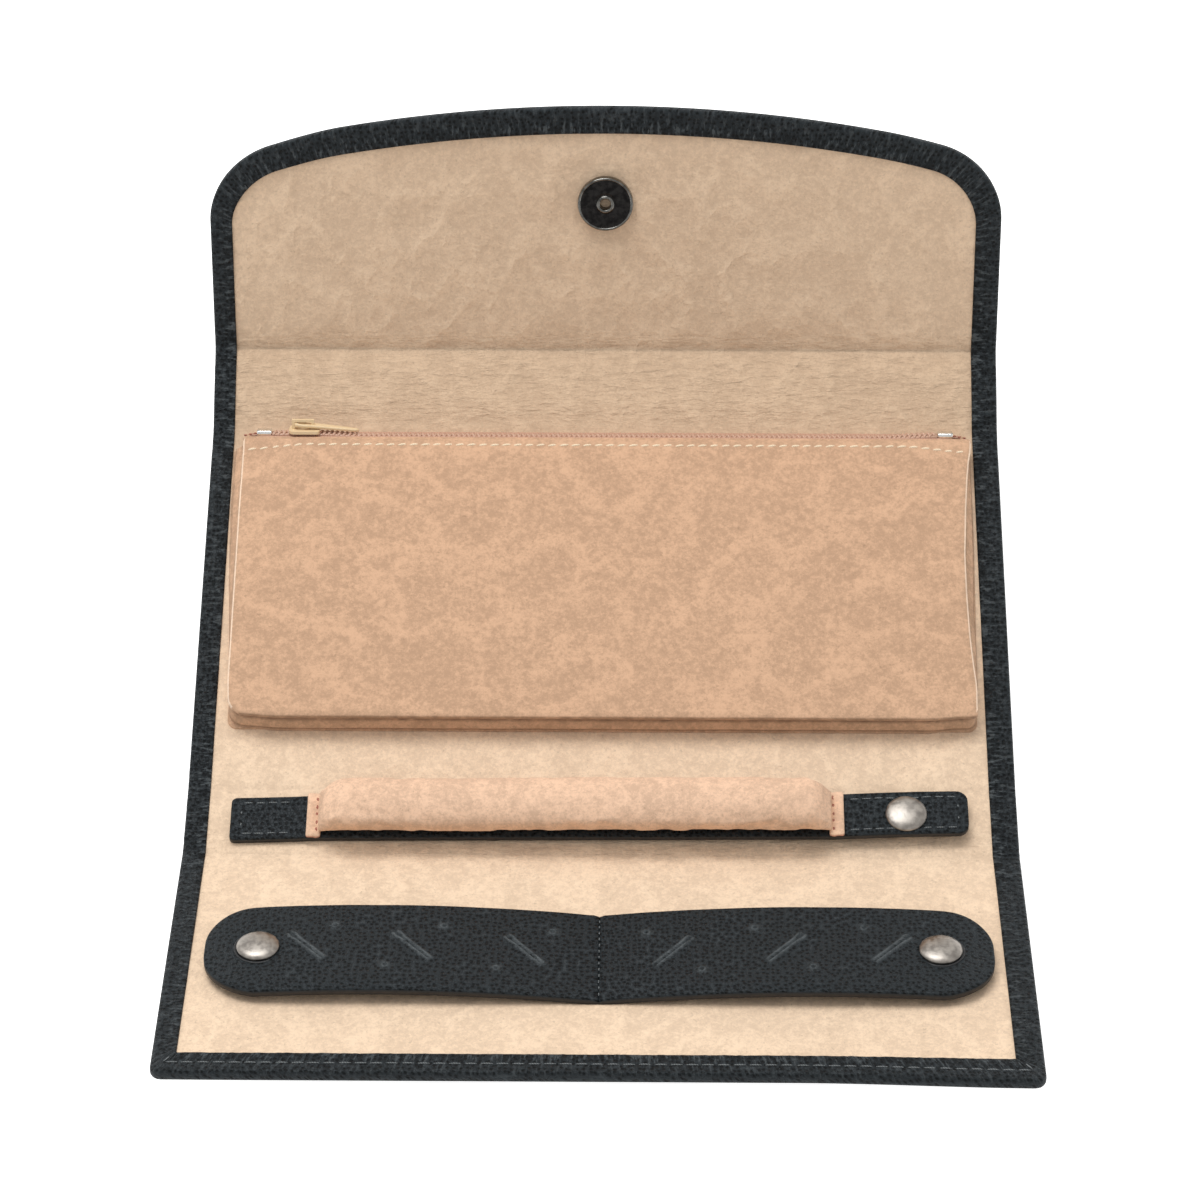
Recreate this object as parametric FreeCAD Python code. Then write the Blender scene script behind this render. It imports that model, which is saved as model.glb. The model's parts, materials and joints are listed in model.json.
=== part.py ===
"""Fold-out jewellery wallet, lying open on its back panel.

The wallet is drawn unfolded and flat: X across, +Y from the front panel towards the flap, Z up out of
the lining. The underside of the back panel is z = 0 and its centre is the origin. Each body is then
folded about its hinge lines to the half-open rest pose.
"""
import FreeCAD, Part
import math
import os
Base = FreeCAD.Base

# ---- driving dimensions, in millimetres and degrees ----
WIDTH = 200.0
BACK_LENGTH = 103.0
LOWER_SPINE_LENGTH = 18.6
FRONT_LENGTH = 79.3
UPPER_SPINE_LENGTH = 22.0
FLAP_LENGTH = 64.2

LOWER_SPINE_REST = 6.0
FRONT_REST = 18.0
UPPER_SPINE_REST = 20.0
FLAP_REST = 35.0

LEATHER = 1.0            # outer leather
BOARD = 0.8              # stiffener in the panels, interlining in the spines
LINING = 0.5             # suede lining
TURNED = 0.7             # skived leather edge, turned over the lining
LINING_TOP = LEATHER + BOARD + LINING
PANEL_TOP = LINING_TOP + TURNED
SIDE_BORDER = 5.3
END_BORDER = 6.8
FOLD_GAP = 0.3           # between neighbouring panels at a fold line
EDGE_GAP = 0.2           # between the turned edge's wall and what it wraps

FRONT_CORNER = 2.5
FLAP_ARC = 385.0
FLAP_CORNER = 20.0
FLAP_INNER_CORNER = 15.0

# Zip pocket on the back panel
POCKET_WIDTH = 183.0
POCKET_BOTTOM = -35.2
POCKET_TOP = 45.7
POCKET_WALL = 1.2
POCKET_ROOM = 5.1        # clear height inside
POCKET_BACK = 0.5
POCKET_BACK_TOP = 51.2
POCKET_CORNER = 2.5
GUSSET = 0.8
GUSSET_BULGE = 2.4

# Zip: its plane leans, so that it faces back and up
ZIP_Y = 48.9
ZIP_Z = 6.2
ZIP_LEAN = -38.0
COIL_HALF_LENGTH = 84.4
COIL_INNER = 0.35
COIL_OUTER = 1.5
COIL_THICKNESS = 1.3
TAPE = 0.4
STOP_LENGTH = 3.9
SLIDER_X = -76.2
SLIDER_LENGTH = 7.8
SLIDER_WIDTH = 5.6
SLIDER_PLATE = 0.7
SLIDER_CHANNEL = 1.4
PULL_TILT = 5.5
PULL_REACH = 15.6
PULL_WIDTH = 3.4
PULL_THICKNESS = 0.8

# Ring bar on the lower spine
BAR_LEFT = -89.0
BAR_HINGE_X = -71.0
BAR_RIGHT = 88.0
BAR_WIDTH = 12.2
BAR_THICKNESS = 1.8
BAR_CORNER = 2.6
BAR_SNAP_X = 73.1
PAD_LEFT = -67.6
PAD_RIGHT = 55.2
PAD_WIDTH = 13.6
PAD_HEIGHT = 9.6
PAD_TAPER = 5.0
PAD_END_SCALE = 0.62
PAD_SKIN = 0.7
SEAM_LENGTH = 3.0
SEAM_THICKNESS = 0.9

# Earring strap on the front panel
STRAP_HALF_LENGTH = 91.0
STRAP_WIDTH = 30.6
STRAP_CENTRE = 39.6      # from the front fold line to the strap's centreline
STRAP_END_RADIUS = 13.4
STRAP_LEATHER = 1.1
STRAP_BACKING = 0.7
STRAP_SPLIT = 2.0        # half the width of the stitched-down middle
STRAP_SNAP_X = 78.7
SLOT_X = (17.1, 43.0, 67.4)
SLOT_LENGTH = 12.4
SLOT_WIDTH = 0.8
SLOT_SLANT = 48.0
STRAP_HOLES = ((10.9, 7.2), (36.0, 7.2), (61.2, 7.2), (23.6, -7.0), (49.0, -7.0))
STRAP_HOLE_RADIUS = 0.6

# Snap fasteners
CAP_RADIUS = 5.0
CAP_HEIGHT = 1.7
SOCKET_RADIUS = 4.3
SOCKET_HEIGHT = 1.4
SOCKET_BORE = 2.2
STUD_FLANGE_RADIUS = 4.0
STUD_FLANGE = 0.5
STUD_RADIUS = 1.95
STUD_HEIGHT = 1.3
POST_RADIUS = 1.0
SNAP_GAP = 0.12

# Magnetic clasp
MAGNET_REACH = 39.4      # from the flap's fold line
CLASP_STUD_REACH = 63.5  # from the front panel's fold line
MAGNET_RADIUS = 7.0
MAGNET_HEIGHT = 2.2
MAGNET_SHELL = 0.4
TUBE_RADIUS = 2.15
TUBE_BORE = 1.35
TUBE_PROUD = 0.3
CLASP_STUD_RADIUS = 6.0
CLASP_STUD_PLATE = 0.6
CLASP_NUB_RADIUS = 1.1
CLASP_NUB_HEIGHT = 2.1
WASHER_RADIUS = 5.0
WASHER = 0.3
PRONG_X = 3.2
PRONG_WIDTH = 2.2
PRONG = 0.4

# Threads
EDGE_STITCH = (3.5, 2.5)     # pitch, length
POCKET_STITCH = (2.95, 2.2)
STRAP_STITCH = (2.6, 1.9)
THREAD_WIDTH = 0.5
THREAD_HEIGHT = 0.25

# ---- derived places in the unfolded layout ----
HALF = WIDTH / 2
BACK_END = BACK_LENGTH / 2
LOWER_FOLD = -BACK_END
FRONT_FOLD = LOWER_FOLD - LOWER_SPINE_LENGTH
FRONT_EDGE = FRONT_FOLD - FRONT_LENGTH
UPPER_FOLD = BACK_END
FLAP_FOLD = UPPER_FOLD + UPPER_SPINE_LENGTH
FLAP_TIP = FLAP_FOLD + FLAP_LENGTH
POCKET_FLOOR = LINING_TOP + POCKET_BACK
POCKET_ROOF = POCKET_FLOOR + POCKET_ROOM
BAR_Y = LOWER_FOLD - LOWER_SPINE_LENGTH / 2
STRAP_Y = FRONT_FOLD - STRAP_CENTRE
MAGNET_Y = FLAP_FOLD + MAGNET_REACH
CLASP_Y = FRONT_FOLD - CLASP_STUD_REACH
SOCKET_BASE = LINING_TOP + STUD_FLANGE + SNAP_GAP
STRAP_REST = LINING_TOP + SNAP_GAP
STRAP_LIFT = SOCKET_BASE + SOCKET_HEIGHT - STRAP_REST
BAR_TOP = STRAP_REST + BAR_THICKNESS
STRAP_TOP = STRAP_REST + STRAP_BACKING + STRAP_LEATHER
BAR_PIVOT_Z = BAR_TOP + SEAM_THICKNESS
STRAP_PIVOT_Z = STRAP_TOP + THREAD_HEIGHT + 0.05
STRAP_SLOPE = math.degrees(math.atan2(STRAP_LIFT, STRAP_SNAP_X - STRAP_SPLIT))
BAR_SLOPE = math.degrees(math.atan2(STRAP_LIFT, BAR_SNAP_X - BAR_HINGE_X))

X_AXIS = Base.Vector(1, 0, 0)
Y_AXIS = Base.Vector(0, 1, 0)
Z_AXIS = Base.Vector(0, 0, 1)


# ---- small helpers ----
def point(x, y, z=0.0):
    return Base.Vector(x, y, z)


def box(x0, x1, y0, y1, z0, z1):
    return Part.makeBox(x1 - x0, y1 - y0, z1 - z0, point(x0, y0, z0))


def disc(x, y, z, radius, height):
    return Part.makeCylinder(radius, height, point(x, y, z))


def ring(x, y, z, radius, bore, height):
    return disc(x, y, z, radius, height).cut(disc(x, y, z, bore, height))


def turned(shape, centre, axis, angle):
    copy = shape.copy()
    copy.rotate(centre, axis, angle)
    return copy


def moved(shape, x, y, z):
    copy = shape.copy()
    copy.translate(point(x, y, z))
    return copy


def slab(face, z0, z1):
    """A face in z = 0 made into a slab from z0 to z1."""
    return moved(face, 0, 0, z0).extrude(point(0, 0, z1 - z0))


def rounded_rectangle(x0, x1, y0, y1, corners):
    """A face whose corners (low-left, low-right, high-right, high-left) have the given radii."""
    solid = box(x0, x1, y0, y1, 0, 1)
    places = ((x0, y0), (x1, y0), (x1, y1), (x0, y1))
    for (x, y), radius in zip(places, corners):
        if radius > 0:
            upright = [e for e in solid.Edges if is_upright_at(e, x, y)]
            solid = solid.makeFillet(radius, upright)
    low = min(solid.Faces, key=lambda f: f.CenterOfMass.z)
    return Part.Face(low.OuterWire)


def is_upright_at(edge, x, y):
    ends = [v.Point for v in edge.Vertexes]
    return len(ends) == 2 and all(abs(p.x - x) < 1e-6 and abs(p.y - y) < 1e-6 for p in ends)


def arched_outline(half_width, y0, y_tip, corner, arc):
    """The flap's face: straight sides, rounded corners and a shallow arched end."""
    arc_y = y_tip - arc
    corner_x = half_width - corner
    corner_y = arc_y + math.sqrt((arc - corner) ** 2 - corner_x ** 2)
    reach = arc / (arc - corner)
    join = point(corner_x * reach, arc_y + (corner_y - arc_y) * reach)
    half_turn = 0.5 * math.atan2(join.y - corner_y, join.x - corner_x)
    middle = point(corner_x + corner * math.cos(half_turn), corner_y + corner * math.sin(half_turn))
    edges = [
        Part.makeLine(point(-half_width, y0), point(half_width, y0)),
        Part.makeLine(point(half_width, y0), point(half_width, corner_y)),
        Part.Arc(point(half_width, corner_y), middle, join).toShape(),
        Part.Arc(join, point(0, y_tip), point(-join.x, join.y)).toShape(),
        Part.Arc(point(-join.x, join.y), point(-middle.x, middle.y), point(-half_width, corner_y)).toShape(),
        Part.makeLine(point(-half_width, corner_y), point(-half_width, y0)),
    ]
    return Part.Face(Part.Wire(edges))


def stitches(places, length, angle=0.0):
    """Short visible runs of thread lying on a surface, each centred on its place."""
    threads = []
    for x, y, z in places:
        thread = box(x - length / 2, x + length / 2, y - THREAD_WIDTH / 2, y + THREAD_WIDTH / 2,
                     z, z + THREAD_HEIGHT)
        threads.append(turned(thread, point(x, y, z), Z_AXIS, angle))
    return threads


def stitch_row(x0, x1, y, z, stitch, upright=False):
    """Stitches evenly spaced from x0 to x1, or from y0 to y1 when upright."""
    pitch, length = stitch
    count = int(round((x1 - x0) / pitch))
    steps = [x0 + (i + 0.5) * (x1 - x0) / count for i in range(count)]
    if upright:
        return stitches([(y, s, z) for s in steps], length, 90.0)
    return stitches([(s, y, z) for s in steps], length)


# ---- folding to the rest pose ----
LOWER_PIVOT = point(0, LOWER_FOLD, PANEL_TOP)
FRONT_PIVOT = point(0, FRONT_FOLD, PANEL_TOP)
UPPER_PIVOT = point(0, UPPER_FOLD, PANEL_TOP)
FLAP_PIVOT = point(0, FLAP_FOLD, PANEL_TOP)


def lie_flat(shape):
    return shape


def fold_lower_spine(shape):
    return turned(shape, LOWER_PIVOT, X_AXIS, -LOWER_SPINE_REST)


def fold_front(shape):
    return fold_lower_spine(turned(shape, FRONT_PIVOT, X_AXIS, -FRONT_REST))


def fold_upper_spine(shape):
    return turned(shape, UPPER_PIVOT, X_AXIS, UPPER_SPINE_REST)


def fold_flap(shape):
    return fold_upper_spine(turned(shape, FLAP_PIVOT, X_AXIS, FLAP_REST))


def write(name, solids, fold=lie_flat):
    """Folds the solids into place and writes them as one sub-part."""
    placed = [fold(s) for s in (solids if isinstance(solids, list) else [solids])]
    shape = placed[0] if len(placed) == 1 else Part.makeCompound(placed)
    shape.exportStep(os.path.join("parts", name + ".step"))


# ---- panels ----
def leather_shell(outline, wall_line, border_line, holes=()):
    """Outer leather with its margins turned up over the board and lining."""
    shell = slab(outline, 0, LEATHER)
    wall = slab(outline, LEATHER, PANEL_TOP).cut(slab(wall_line, LEATHER, PANEL_TOP))
    lip = slab(outline, LINING_TOP, PANEL_TOP).cut(slab(border_line, LINING_TOP, PANEL_TOP))
    shell = shell.fuse([wall, lip]).removeSplitter()
    for hole in holes:
        shell = shell.cut(hole)
    return shell


def layer(face, z0, thickness, holes=()):
    sheet = slab(face, z0, z0 + thickness)
    for hole in holes:
        sheet = sheet.cut(hole)
    return sheet


def strip_faces(y0, y1):
    """Outline, wall line, border line and filling of a panel that is open at both folds."""
    fold0 = y0 + FOLD_GAP / 2
    fold1 = y1 - FOLD_GAP / 2
    widths = (HALF, HALF - LEATHER, HALF - SIDE_BORDER, HALF - LEATHER - EDGE_GAP)
    return [rounded_rectangle(-w, w, fold0, fold1, (0, 0, 0, 0)) for w in widths]


def front_faces():
    insets = ((0, 0, FRONT_CORNER), (LEATHER, LEATHER, FRONT_CORNER - LEATHER),
              (SIDE_BORDER, END_BORDER, 0), (LEATHER + EDGE_GAP, LEATHER + EDGE_GAP, 1.0))
    fold = FRONT_FOLD - FOLD_GAP / 2
    return [rounded_rectangle(-HALF + side, HALF - side, FRONT_EDGE + end, fold, (r, r, 0, 0))
            for side, end, r in insets]


def flap_faces():
    fold = FLAP_FOLD + FOLD_GAP / 2
    fill = LEATHER + EDGE_GAP
    return [
        arched_outline(HALF, fold, FLAP_TIP, FLAP_CORNER, FLAP_ARC),
        arched_outline(HALF - LEATHER, fold, FLAP_TIP - LEATHER, FLAP_CORNER - LEATHER, FLAP_ARC),
        arched_outline(HALF - SIDE_BORDER, fold, FLAP_TIP - END_BORDER, FLAP_INNER_CORNER, FLAP_ARC),
        arched_outline(HALF - fill, fold, FLAP_TIP - fill, FLAP_CORNER - fill, FLAP_ARC),
    ]


def write_panel(name, faces, fold, filler, holes=()):
    """The three layers of one panel: leather shell, board or interlining, and lining."""
    outline, wall_line, border_line, fill = faces
    write(name + "_leather", leather_shell(outline, wall_line, border_line, holes), fold)
    write(name + "_" + filler, layer(fill, LEATHER, BOARD, holes), fold)
    write(name + "_lining", layer(fill, LEATHER + BOARD, LINING, holes), fold)


def prong_slots(y, z0, z1, clearance):
    """The two prongs of a magnet half, or the slits that they pass through."""
    width = PRONG_WIDTH / 2 + clearance
    half = PRONG / 2 + clearance
    return [box(x - half, x + half, y - width, y + width, z0, z1) for x in (-PRONG_X, PRONG_X)]


def snap_post_hole(x, y):
    return disc(x, y, LEATHER, POST_RADIUS + 0.1, BOARD + LINING)


def make_panels():
    strap_posts = [snap_post_hole(x, STRAP_Y) for x in (-STRAP_SNAP_X, STRAP_SNAP_X)]
    clasp_slots = prong_slots(CLASP_Y, 0, LEATHER, 0.1)
    clasp_slots.append(disc(0, CLASP_Y, LEATHER, WASHER_RADIUS + 0.1, WASHER))
    magnet_slots = prong_slots(MAGNET_Y, LEATHER, LINING_TOP, 0.1)
    magnet_slots.append(disc(0, MAGNET_Y, LEATHER, WASHER_RADIUS + 0.1, WASHER))
    write_panel("back_panel", strip_faces(LOWER_FOLD, UPPER_FOLD), lie_flat, "board")
    write_panel("lower_spine", strip_faces(FRONT_FOLD, LOWER_FOLD), fold_lower_spine, "interlining",
                [snap_post_hole(BAR_SNAP_X, BAR_Y)])
    write_panel("front_panel", front_faces(), fold_front, "board", strap_posts + clasp_slots)
    write_panel("upper_spine", strip_faces(UPPER_FOLD, FLAP_FOLD), fold_upper_spine, "interlining")
    write_panel("flap", flap_faces(), fold_flap, "board", magnet_slots)
    edge_y = FRONT_EDGE + END_BORDER / 2
    threads = stitch_row(-HALF + SIDE_BORDER, HALF - SIDE_BORDER, edge_y, PANEL_TOP, EDGE_STITCH)
    write("front_edge_stitching", threads, fold_front)


# ---- magnetic clasp ----
def make_clasp():
    face = LINING_TOP + MAGNET_HEIGHT
    shell = disc(0, MAGNET_Y, LINING_TOP, MAGNET_RADIUS, MAGNET_HEIGHT)
    rim = [e for e in shell.Edges if abs(e.BoundBox.ZMin - face) < 1e-6 and e.BoundBox.XLength > 1]
    shell = shell.makeFillet(MAGNET_SHELL, rim)
    room = MAGNET_RADIUS - MAGNET_SHELL
    shell = shell.cut(ring(0, MAGNET_Y, LINING_TOP + MAGNET_SHELL, room, TUBE_RADIUS,
                           MAGNET_HEIGHT - 2 * MAGNET_SHELL))
    shell = shell.fuse(disc(0, MAGNET_Y, face, TUBE_RADIUS, TUBE_PROUD))
    shell = shell.fuse(prong_slots(MAGNET_Y, LEATHER + WASHER, LINING_TOP, 0)).removeSplitter()
    shell = shell.cut(disc(0, MAGNET_Y, LINING_TOP + MAGNET_SHELL, TUBE_BORE, MAGNET_HEIGHT))
    write("clasp_magnet_case", shell, fold_flap)
    magnet = ring(0, MAGNET_Y, LINING_TOP + MAGNET_SHELL + 0.05, room - 0.1, TUBE_RADIUS + 0.1,
                  MAGNET_HEIGHT - 2 * MAGNET_SHELL - 0.1)
    write("clasp_magnet", magnet, fold_flap)
    write("clasp_magnet_washer", disc(0, MAGNET_Y, LEATHER, WASHER_RADIUS, WASHER), fold_flap)
    stud = disc(0, CLASP_Y, -CLASP_STUD_PLATE, CLASP_STUD_RADIUS, CLASP_STUD_PLATE)
    nub = disc(0, CLASP_Y, -CLASP_STUD_PLATE - CLASP_NUB_HEIGHT, CLASP_NUB_RADIUS, CLASP_NUB_HEIGHT)
    stud = stud.fuse([nub] + prong_slots(CLASP_Y, 0, LEATHER, 0)).removeSplitter()
    write("clasp_stud", stud, fold_front)
    write("clasp_stud_washer", disc(0, CLASP_Y, LEATHER, WASHER_RADIUS, WASHER), fold_front)


# ---- zip pocket ----
def bellows(inset, top_y):
    """Two stacked frustums, wide where they meet, for the outside or inside of the folded gusset."""
    half = POCKET_WIDTH / 2 - inset
    low = POCKET_BOTTOM + inset
    middle = POCKET_FLOOR + POCKET_ROOM / 2
    levels = ((POCKET_FLOOR, 0.0), (middle, GUSSET_BULGE), (POCKET_ROOF, 0.0))
    wires = []
    for z, bulge in levels:
        corners = [point(-half - bulge, low - bulge, z), point(half + bulge, low - bulge, z),
                   point(half + bulge, top_y, z), point(-half - bulge, top_y, z)]
        wires.append(Part.makePolygon(corners + corners[:1]))
    lower = Part.makeLoft(wires[:2], True, True)
    upper = Part.makeLoft(wires[1:], True, True)
    return lower.fuse(upper).removeSplitter()


def make_pocket():
    half = POCKET_WIDTH / 2
    radii = (POCKET_CORNER, POCKET_CORNER, 0, 0)
    front = rounded_rectangle(-half, half, POCKET_BOTTOM, POCKET_TOP, radii)
    write("pocket_front", slab(front, POCKET_ROOF, POCKET_ROOF + POCKET_WALL))
    write("pocket_gusset", bellows(0, POCKET_TOP).cut(bellows(GUSSET, POCKET_TOP + 1)))
    back = rounded_rectangle(-half, half, POCKET_BOTTOM, POCKET_BACK_TOP, radii)
    write("pocket_back", slab(back, LINING_TOP, POCKET_FLOOR))
    stitch_y = POCKET_TOP - 1.8
    top = POCKET_ROOF + POCKET_WALL
    write("pocket_stitching", stitch_row(-half + 1, half - 1, stitch_y, top, POCKET_STITCH))


# ---- zip ----
def lean_zip(shape):
    """From the zip's own plane, with Y towards its back tape and Z out of its face, to its place."""
    return moved(turned(shape, point(0, 0, 0), X_AXIS, ZIP_LEAN), 0, ZIP_Y, ZIP_Z)


def zip_to_layout(y, z):
    lean = math.radians(ZIP_LEAN)
    return (ZIP_Y + y * math.cos(lean) - z * math.sin(lean),
            ZIP_Z + y * math.sin(lean) + z * math.cos(lean))


def make_zip():
    end = COIL_HALF_LENGTH
    half = COIL_THICKNESS / 2
    tape_end = end + STOP_LENGTH
    turn = 2.8
    write("zip_coil_front", lean_zip(box(-end, end, -COIL_OUTER, -COIL_INNER, -half, half)))
    write("zip_coil_back", lean_zip(box(-end, end, COIL_INNER, COIL_OUTER, -half, half)))
    bend_y, bend_z = zip_to_layout(-turn, 0)
    sloped = lean_zip(box(-tape_end, tape_end, -turn - 0.1, -COIL_OUTER, -TAPE / 2, TAPE / 2))
    flat = box(-tape_end, tape_end, POCKET_TOP - 6, bend_y + 0.1, POCKET_ROOF - TAPE, POCKET_ROOF)
    write("zip_tape_front", sloped.fuse(flat).removeSplitter())
    foot_y, foot_z = zip_to_layout(turn, 0)
    sloped = lean_zip(box(-tape_end, tape_end, COIL_OUTER, turn + 0.1, -TAPE / 2, TAPE / 2))
    foot = box(-tape_end, tape_end, foot_y - TAPE / 2, foot_y + TAPE / 2, POCKET_FLOOR, foot_z + 0.05)
    write("zip_tape_back", sloped.fuse(foot).removeSplitter())
    stop = box(end + 0.05, tape_end, -COIL_OUTER + 0.05, COIL_OUTER - 0.05, -0.9, 0.9)
    long_edges = [e for e in stop.Edges if e.BoundBox.XLength > STOP_LENGTH / 2]
    stop = stop.makeFillet(0.5, long_edges)
    write("zip_stop_right", lean_zip(stop))
    write("zip_stop_left", lean_zip(turned(stop, point(0, 0, 0), Z_AXIS, 180)))
    write("zip_slider", lean_zip(slider()))
    write("zip_pull", lean_zip(pull_tab()))


BRIDGE_BASE = SLIDER_CHANNEL / 2 + SLIDER_PLATE
BRIDGE_LEFT = SLIDER_X - 3.2
BRIDGE_RIGHT = SLIDER_X + 2.4
BRIDGE_UNDER = 3.2
BRIDGE_BAR = 0.6
BRIDGE_LEG = 0.7
BRIDGE_WIDTH = 1.0
PULL_PIVOT_X = SLIDER_X - 1.6
PULL_PIVOT_Z = 2.6


def slider():
    """Two plates joined by a thin divider between the coils, with a bridge that holds the pull."""
    x0 = SLIDER_X - SLIDER_LENGTH / 2
    x1 = SLIDER_X + SLIDER_LENGTH / 2
    half = SLIDER_WIDTH / 2
    gap = SLIDER_CHANNEL / 2
    radii = (1.6, 0.8, 0.8, 1.6)
    plate = rounded_rectangle(x0, x1, -half, half, radii)
    upper = slab(plate, gap, gap + SLIDER_PLATE)
    lower = slab(plate, -gap - SLIDER_PLATE, -gap)
    divider = box(x0 + 0.4, x0 + 2.6, -0.2, 0.2, -gap, gap)
    side = BRIDGE_WIDTH / 2
    bar = box(BRIDGE_LEFT, BRIDGE_RIGHT, -side, side, BRIDGE_UNDER, BRIDGE_UNDER + BRIDGE_BAR)
    legs = [box(x, x + BRIDGE_LEG, -side, side, BRIDGE_BASE, BRIDGE_UNDER)
            for x in (BRIDGE_LEFT, BRIDGE_RIGHT - BRIDGE_LEG)]
    return upper.fuse([lower, divider, bar] + legs).removeSplitter()


def pull_tab():
    """A flat tab with an eye that the bridge passes through, and a pin under the bridge."""
    x0 = PULL_PIVOT_X
    half = PULL_WIDTH / 2
    z0 = PULL_PIVOT_Z - PULL_THICKNESS / 2
    z1 = PULL_PIVOT_Z + PULL_THICKNESS / 2
    tab = slab(rounded_rectangle(x0, x0 + PULL_REACH, -half, half, (0.8, 1.4, 1.4, 0.8)), z0, z1)
    eye = box(x0 - 1, BRIDGE_RIGHT + 0.6, -0.8, 0.8, z0 - 1, z1 + 1)
    pin = Part.makeCylinder(PULL_THICKNESS / 2, PULL_WIDTH, point(x0, -half, PULL_PIVOT_Z), Y_AXIS)
    tab = tab.cut(eye).fuse(pin).removeSplitter()
    return turned(tab, point(x0, 0, PULL_PIVOT_Z), Y_AXIS, PULL_TILT)


# ---- snap fasteners ----
def snap_cap(x, y, strap_base, strap_top):
    """Domed cap on a strap, with its post through the strap."""
    radius = (CAP_RADIUS ** 2 + CAP_HEIGHT ** 2) / (2 * CAP_HEIGHT)
    ball = Part.makeSphere(radius, point(x, y, strap_top + CAP_HEIGHT - radius))
    dome = ball.common(disc(x, y, strap_top, CAP_RADIUS + 1, CAP_HEIGHT + 1))
    return dome.fuse(disc(x, y, strap_base, POST_RADIUS, strap_top - strap_base)).removeSplitter()


def snap_socket(x, y, strap_base):
    return ring(x, y, strap_base - SOCKET_HEIGHT, SOCKET_RADIUS, SOCKET_BORE, SOCKET_HEIGHT)


def snap_stud(x, y):
    """Stud on the lining, with its post down through lining and board."""
    flange = disc(x, y, LINING_TOP, STUD_FLANGE_RADIUS, STUD_FLANGE)
    nub = disc(x, y, LINING_TOP + STUD_FLANGE, STUD_RADIUS, STUD_HEIGHT)
    post = disc(x, y, LEATHER + 0.1, POST_RADIUS, LINING_TOP - LEATHER - 0.1)
    return flange.fuse([nub, post]).removeSplitter()


# ---- ring bar ----
def lift_bar(shape):
    return fold_lower_spine(turned(shape, point(BAR_HINGE_X, 0, STRAP_REST), Y_AXIS, -BAR_SLOPE))


def pad_section(x, width, height, base):
    """A flat-bottomed oval in the plane across the bar."""
    side = width / 2
    belly = base + 0.42 * height
    left = Part.Arc(point(x, BAR_Y - 0.72 * side, base), point(x, BAR_Y - side, belly),
                    point(x, BAR_Y, base + height))
    right = Part.Arc(point(x, BAR_Y, base + height), point(x, BAR_Y + side, belly),
                     point(x, BAR_Y + 0.72 * side, base))
    bottom = Part.makeLine(point(x, BAR_Y + 0.72 * side, base), point(x, BAR_Y - 0.72 * side, base))
    return Part.Wire([left.toShape(), right.toShape(), bottom])


def pad_body(inset, base):
    """The stuffed pad: an even middle that narrows a little at both ends."""
    width = PAD_WIDTH - 2 * inset
    height = PAD_HEIGHT - 2 * inset
    left = PAD_LEFT + inset
    right = PAD_RIGHT - inset
    stations = ((left, PAD_END_SCALE), (left + PAD_TAPER, 1.0), (right - PAD_TAPER, 1.0),
                (right, PAD_END_SCALE))
    sections = [pad_section(x, width * k, height * k, base + inset) for x, k in stations]
    spans = [Part.makeLoft(sections[i:i + 2], True, True) for i in range(3)]
    return spans[0].fuse(spans[1:]).removeSplitter()


def make_ring_bar():
    half = BAR_WIDTH / 2
    base = STRAP_REST
    top = BAR_TOP
    tab = rounded_rectangle(BAR_LEFT, BAR_HINGE_X - FOLD_GAP / 2, BAR_Y - half, BAR_Y + half,
                            (BAR_CORNER, 0, 0, BAR_CORNER))
    write("ring_bar_tab", slab(tab, LINING_TOP, LINING_TOP + BAR_THICKNESS), fold_lower_spine)
    rows = []
    for side in (-1, 1):
        rows += stitch_row(BAR_LEFT + 2.5, BAR_HINGE_X - 1, BAR_Y + side * (half - 1.6),
                           LINING_TOP + BAR_THICKNESS, EDGE_STITCH)
    write("ring_bar_tab_stitching", rows, fold_lower_spine)
    strap = rounded_rectangle(BAR_HINGE_X + FOLD_GAP / 2, BAR_RIGHT, BAR_Y - half, BAR_Y + half,
                              (0, BAR_CORNER, BAR_CORNER, 0))
    post = disc(BAR_SNAP_X, BAR_Y, base, POST_RADIUS + 0.05, BAR_THICKNESS)
    write("ring_bar_strap", slab(strap, base, top).cut(post), lift_bar)
    rows = []
    for side in (-1, 1):
        rows += stitch_row(PAD_RIGHT + SEAM_LENGTH + 1, BAR_SNAP_X - CAP_RADIUS,
                           BAR_Y + side * (half - 1.6), top, EDGE_STITCH)
        rows += stitch_row(BAR_SNAP_X + CAP_RADIUS, BAR_RIGHT - 2, BAR_Y + side * (half - 1.6), top,
                           EDGE_STITCH)
    write("ring_bar_strap_stitching", rows, lift_bar)
    cover = pad_body(0, top)
    seams = [box(x, x + SEAM_LENGTH, BAR_Y - half, BAR_Y + half, top, top + SEAM_THICKNESS)
             for x in (PAD_LEFT - SEAM_LENGTH, PAD_RIGHT)]
    core = pad_body(PAD_SKIN, top)
    write("ring_bar_pad", cover.fuse(seams).removeSplitter().cut(core), lift_bar)
    write("ring_bar_core", pad_body(PAD_SKIN + 0.05, top), lift_bar)
    write("ring_bar_snap_cap", snap_cap(BAR_SNAP_X, BAR_Y, base, top), lift_bar)
    write("ring_bar_snap_socket", snap_socket(BAR_SNAP_X, BAR_Y, base), lift_bar)
    write("ring_bar_snap_stud", snap_stud(BAR_SNAP_X, BAR_Y), fold_lower_spine)


# ---- earring strap ----
def strap_outline():
    """One half of the strap, on the right, from the stitched middle to its rounded end."""
    half = STRAP_WIDTH / 2
    r = STRAP_END_RADIUS
    return rounded_rectangle(STRAP_SPLIT + FOLD_GAP / 2, STRAP_HALF_LENGTH, STRAP_Y - half,
                             STRAP_Y + half, (0, r, r, 0))


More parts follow.
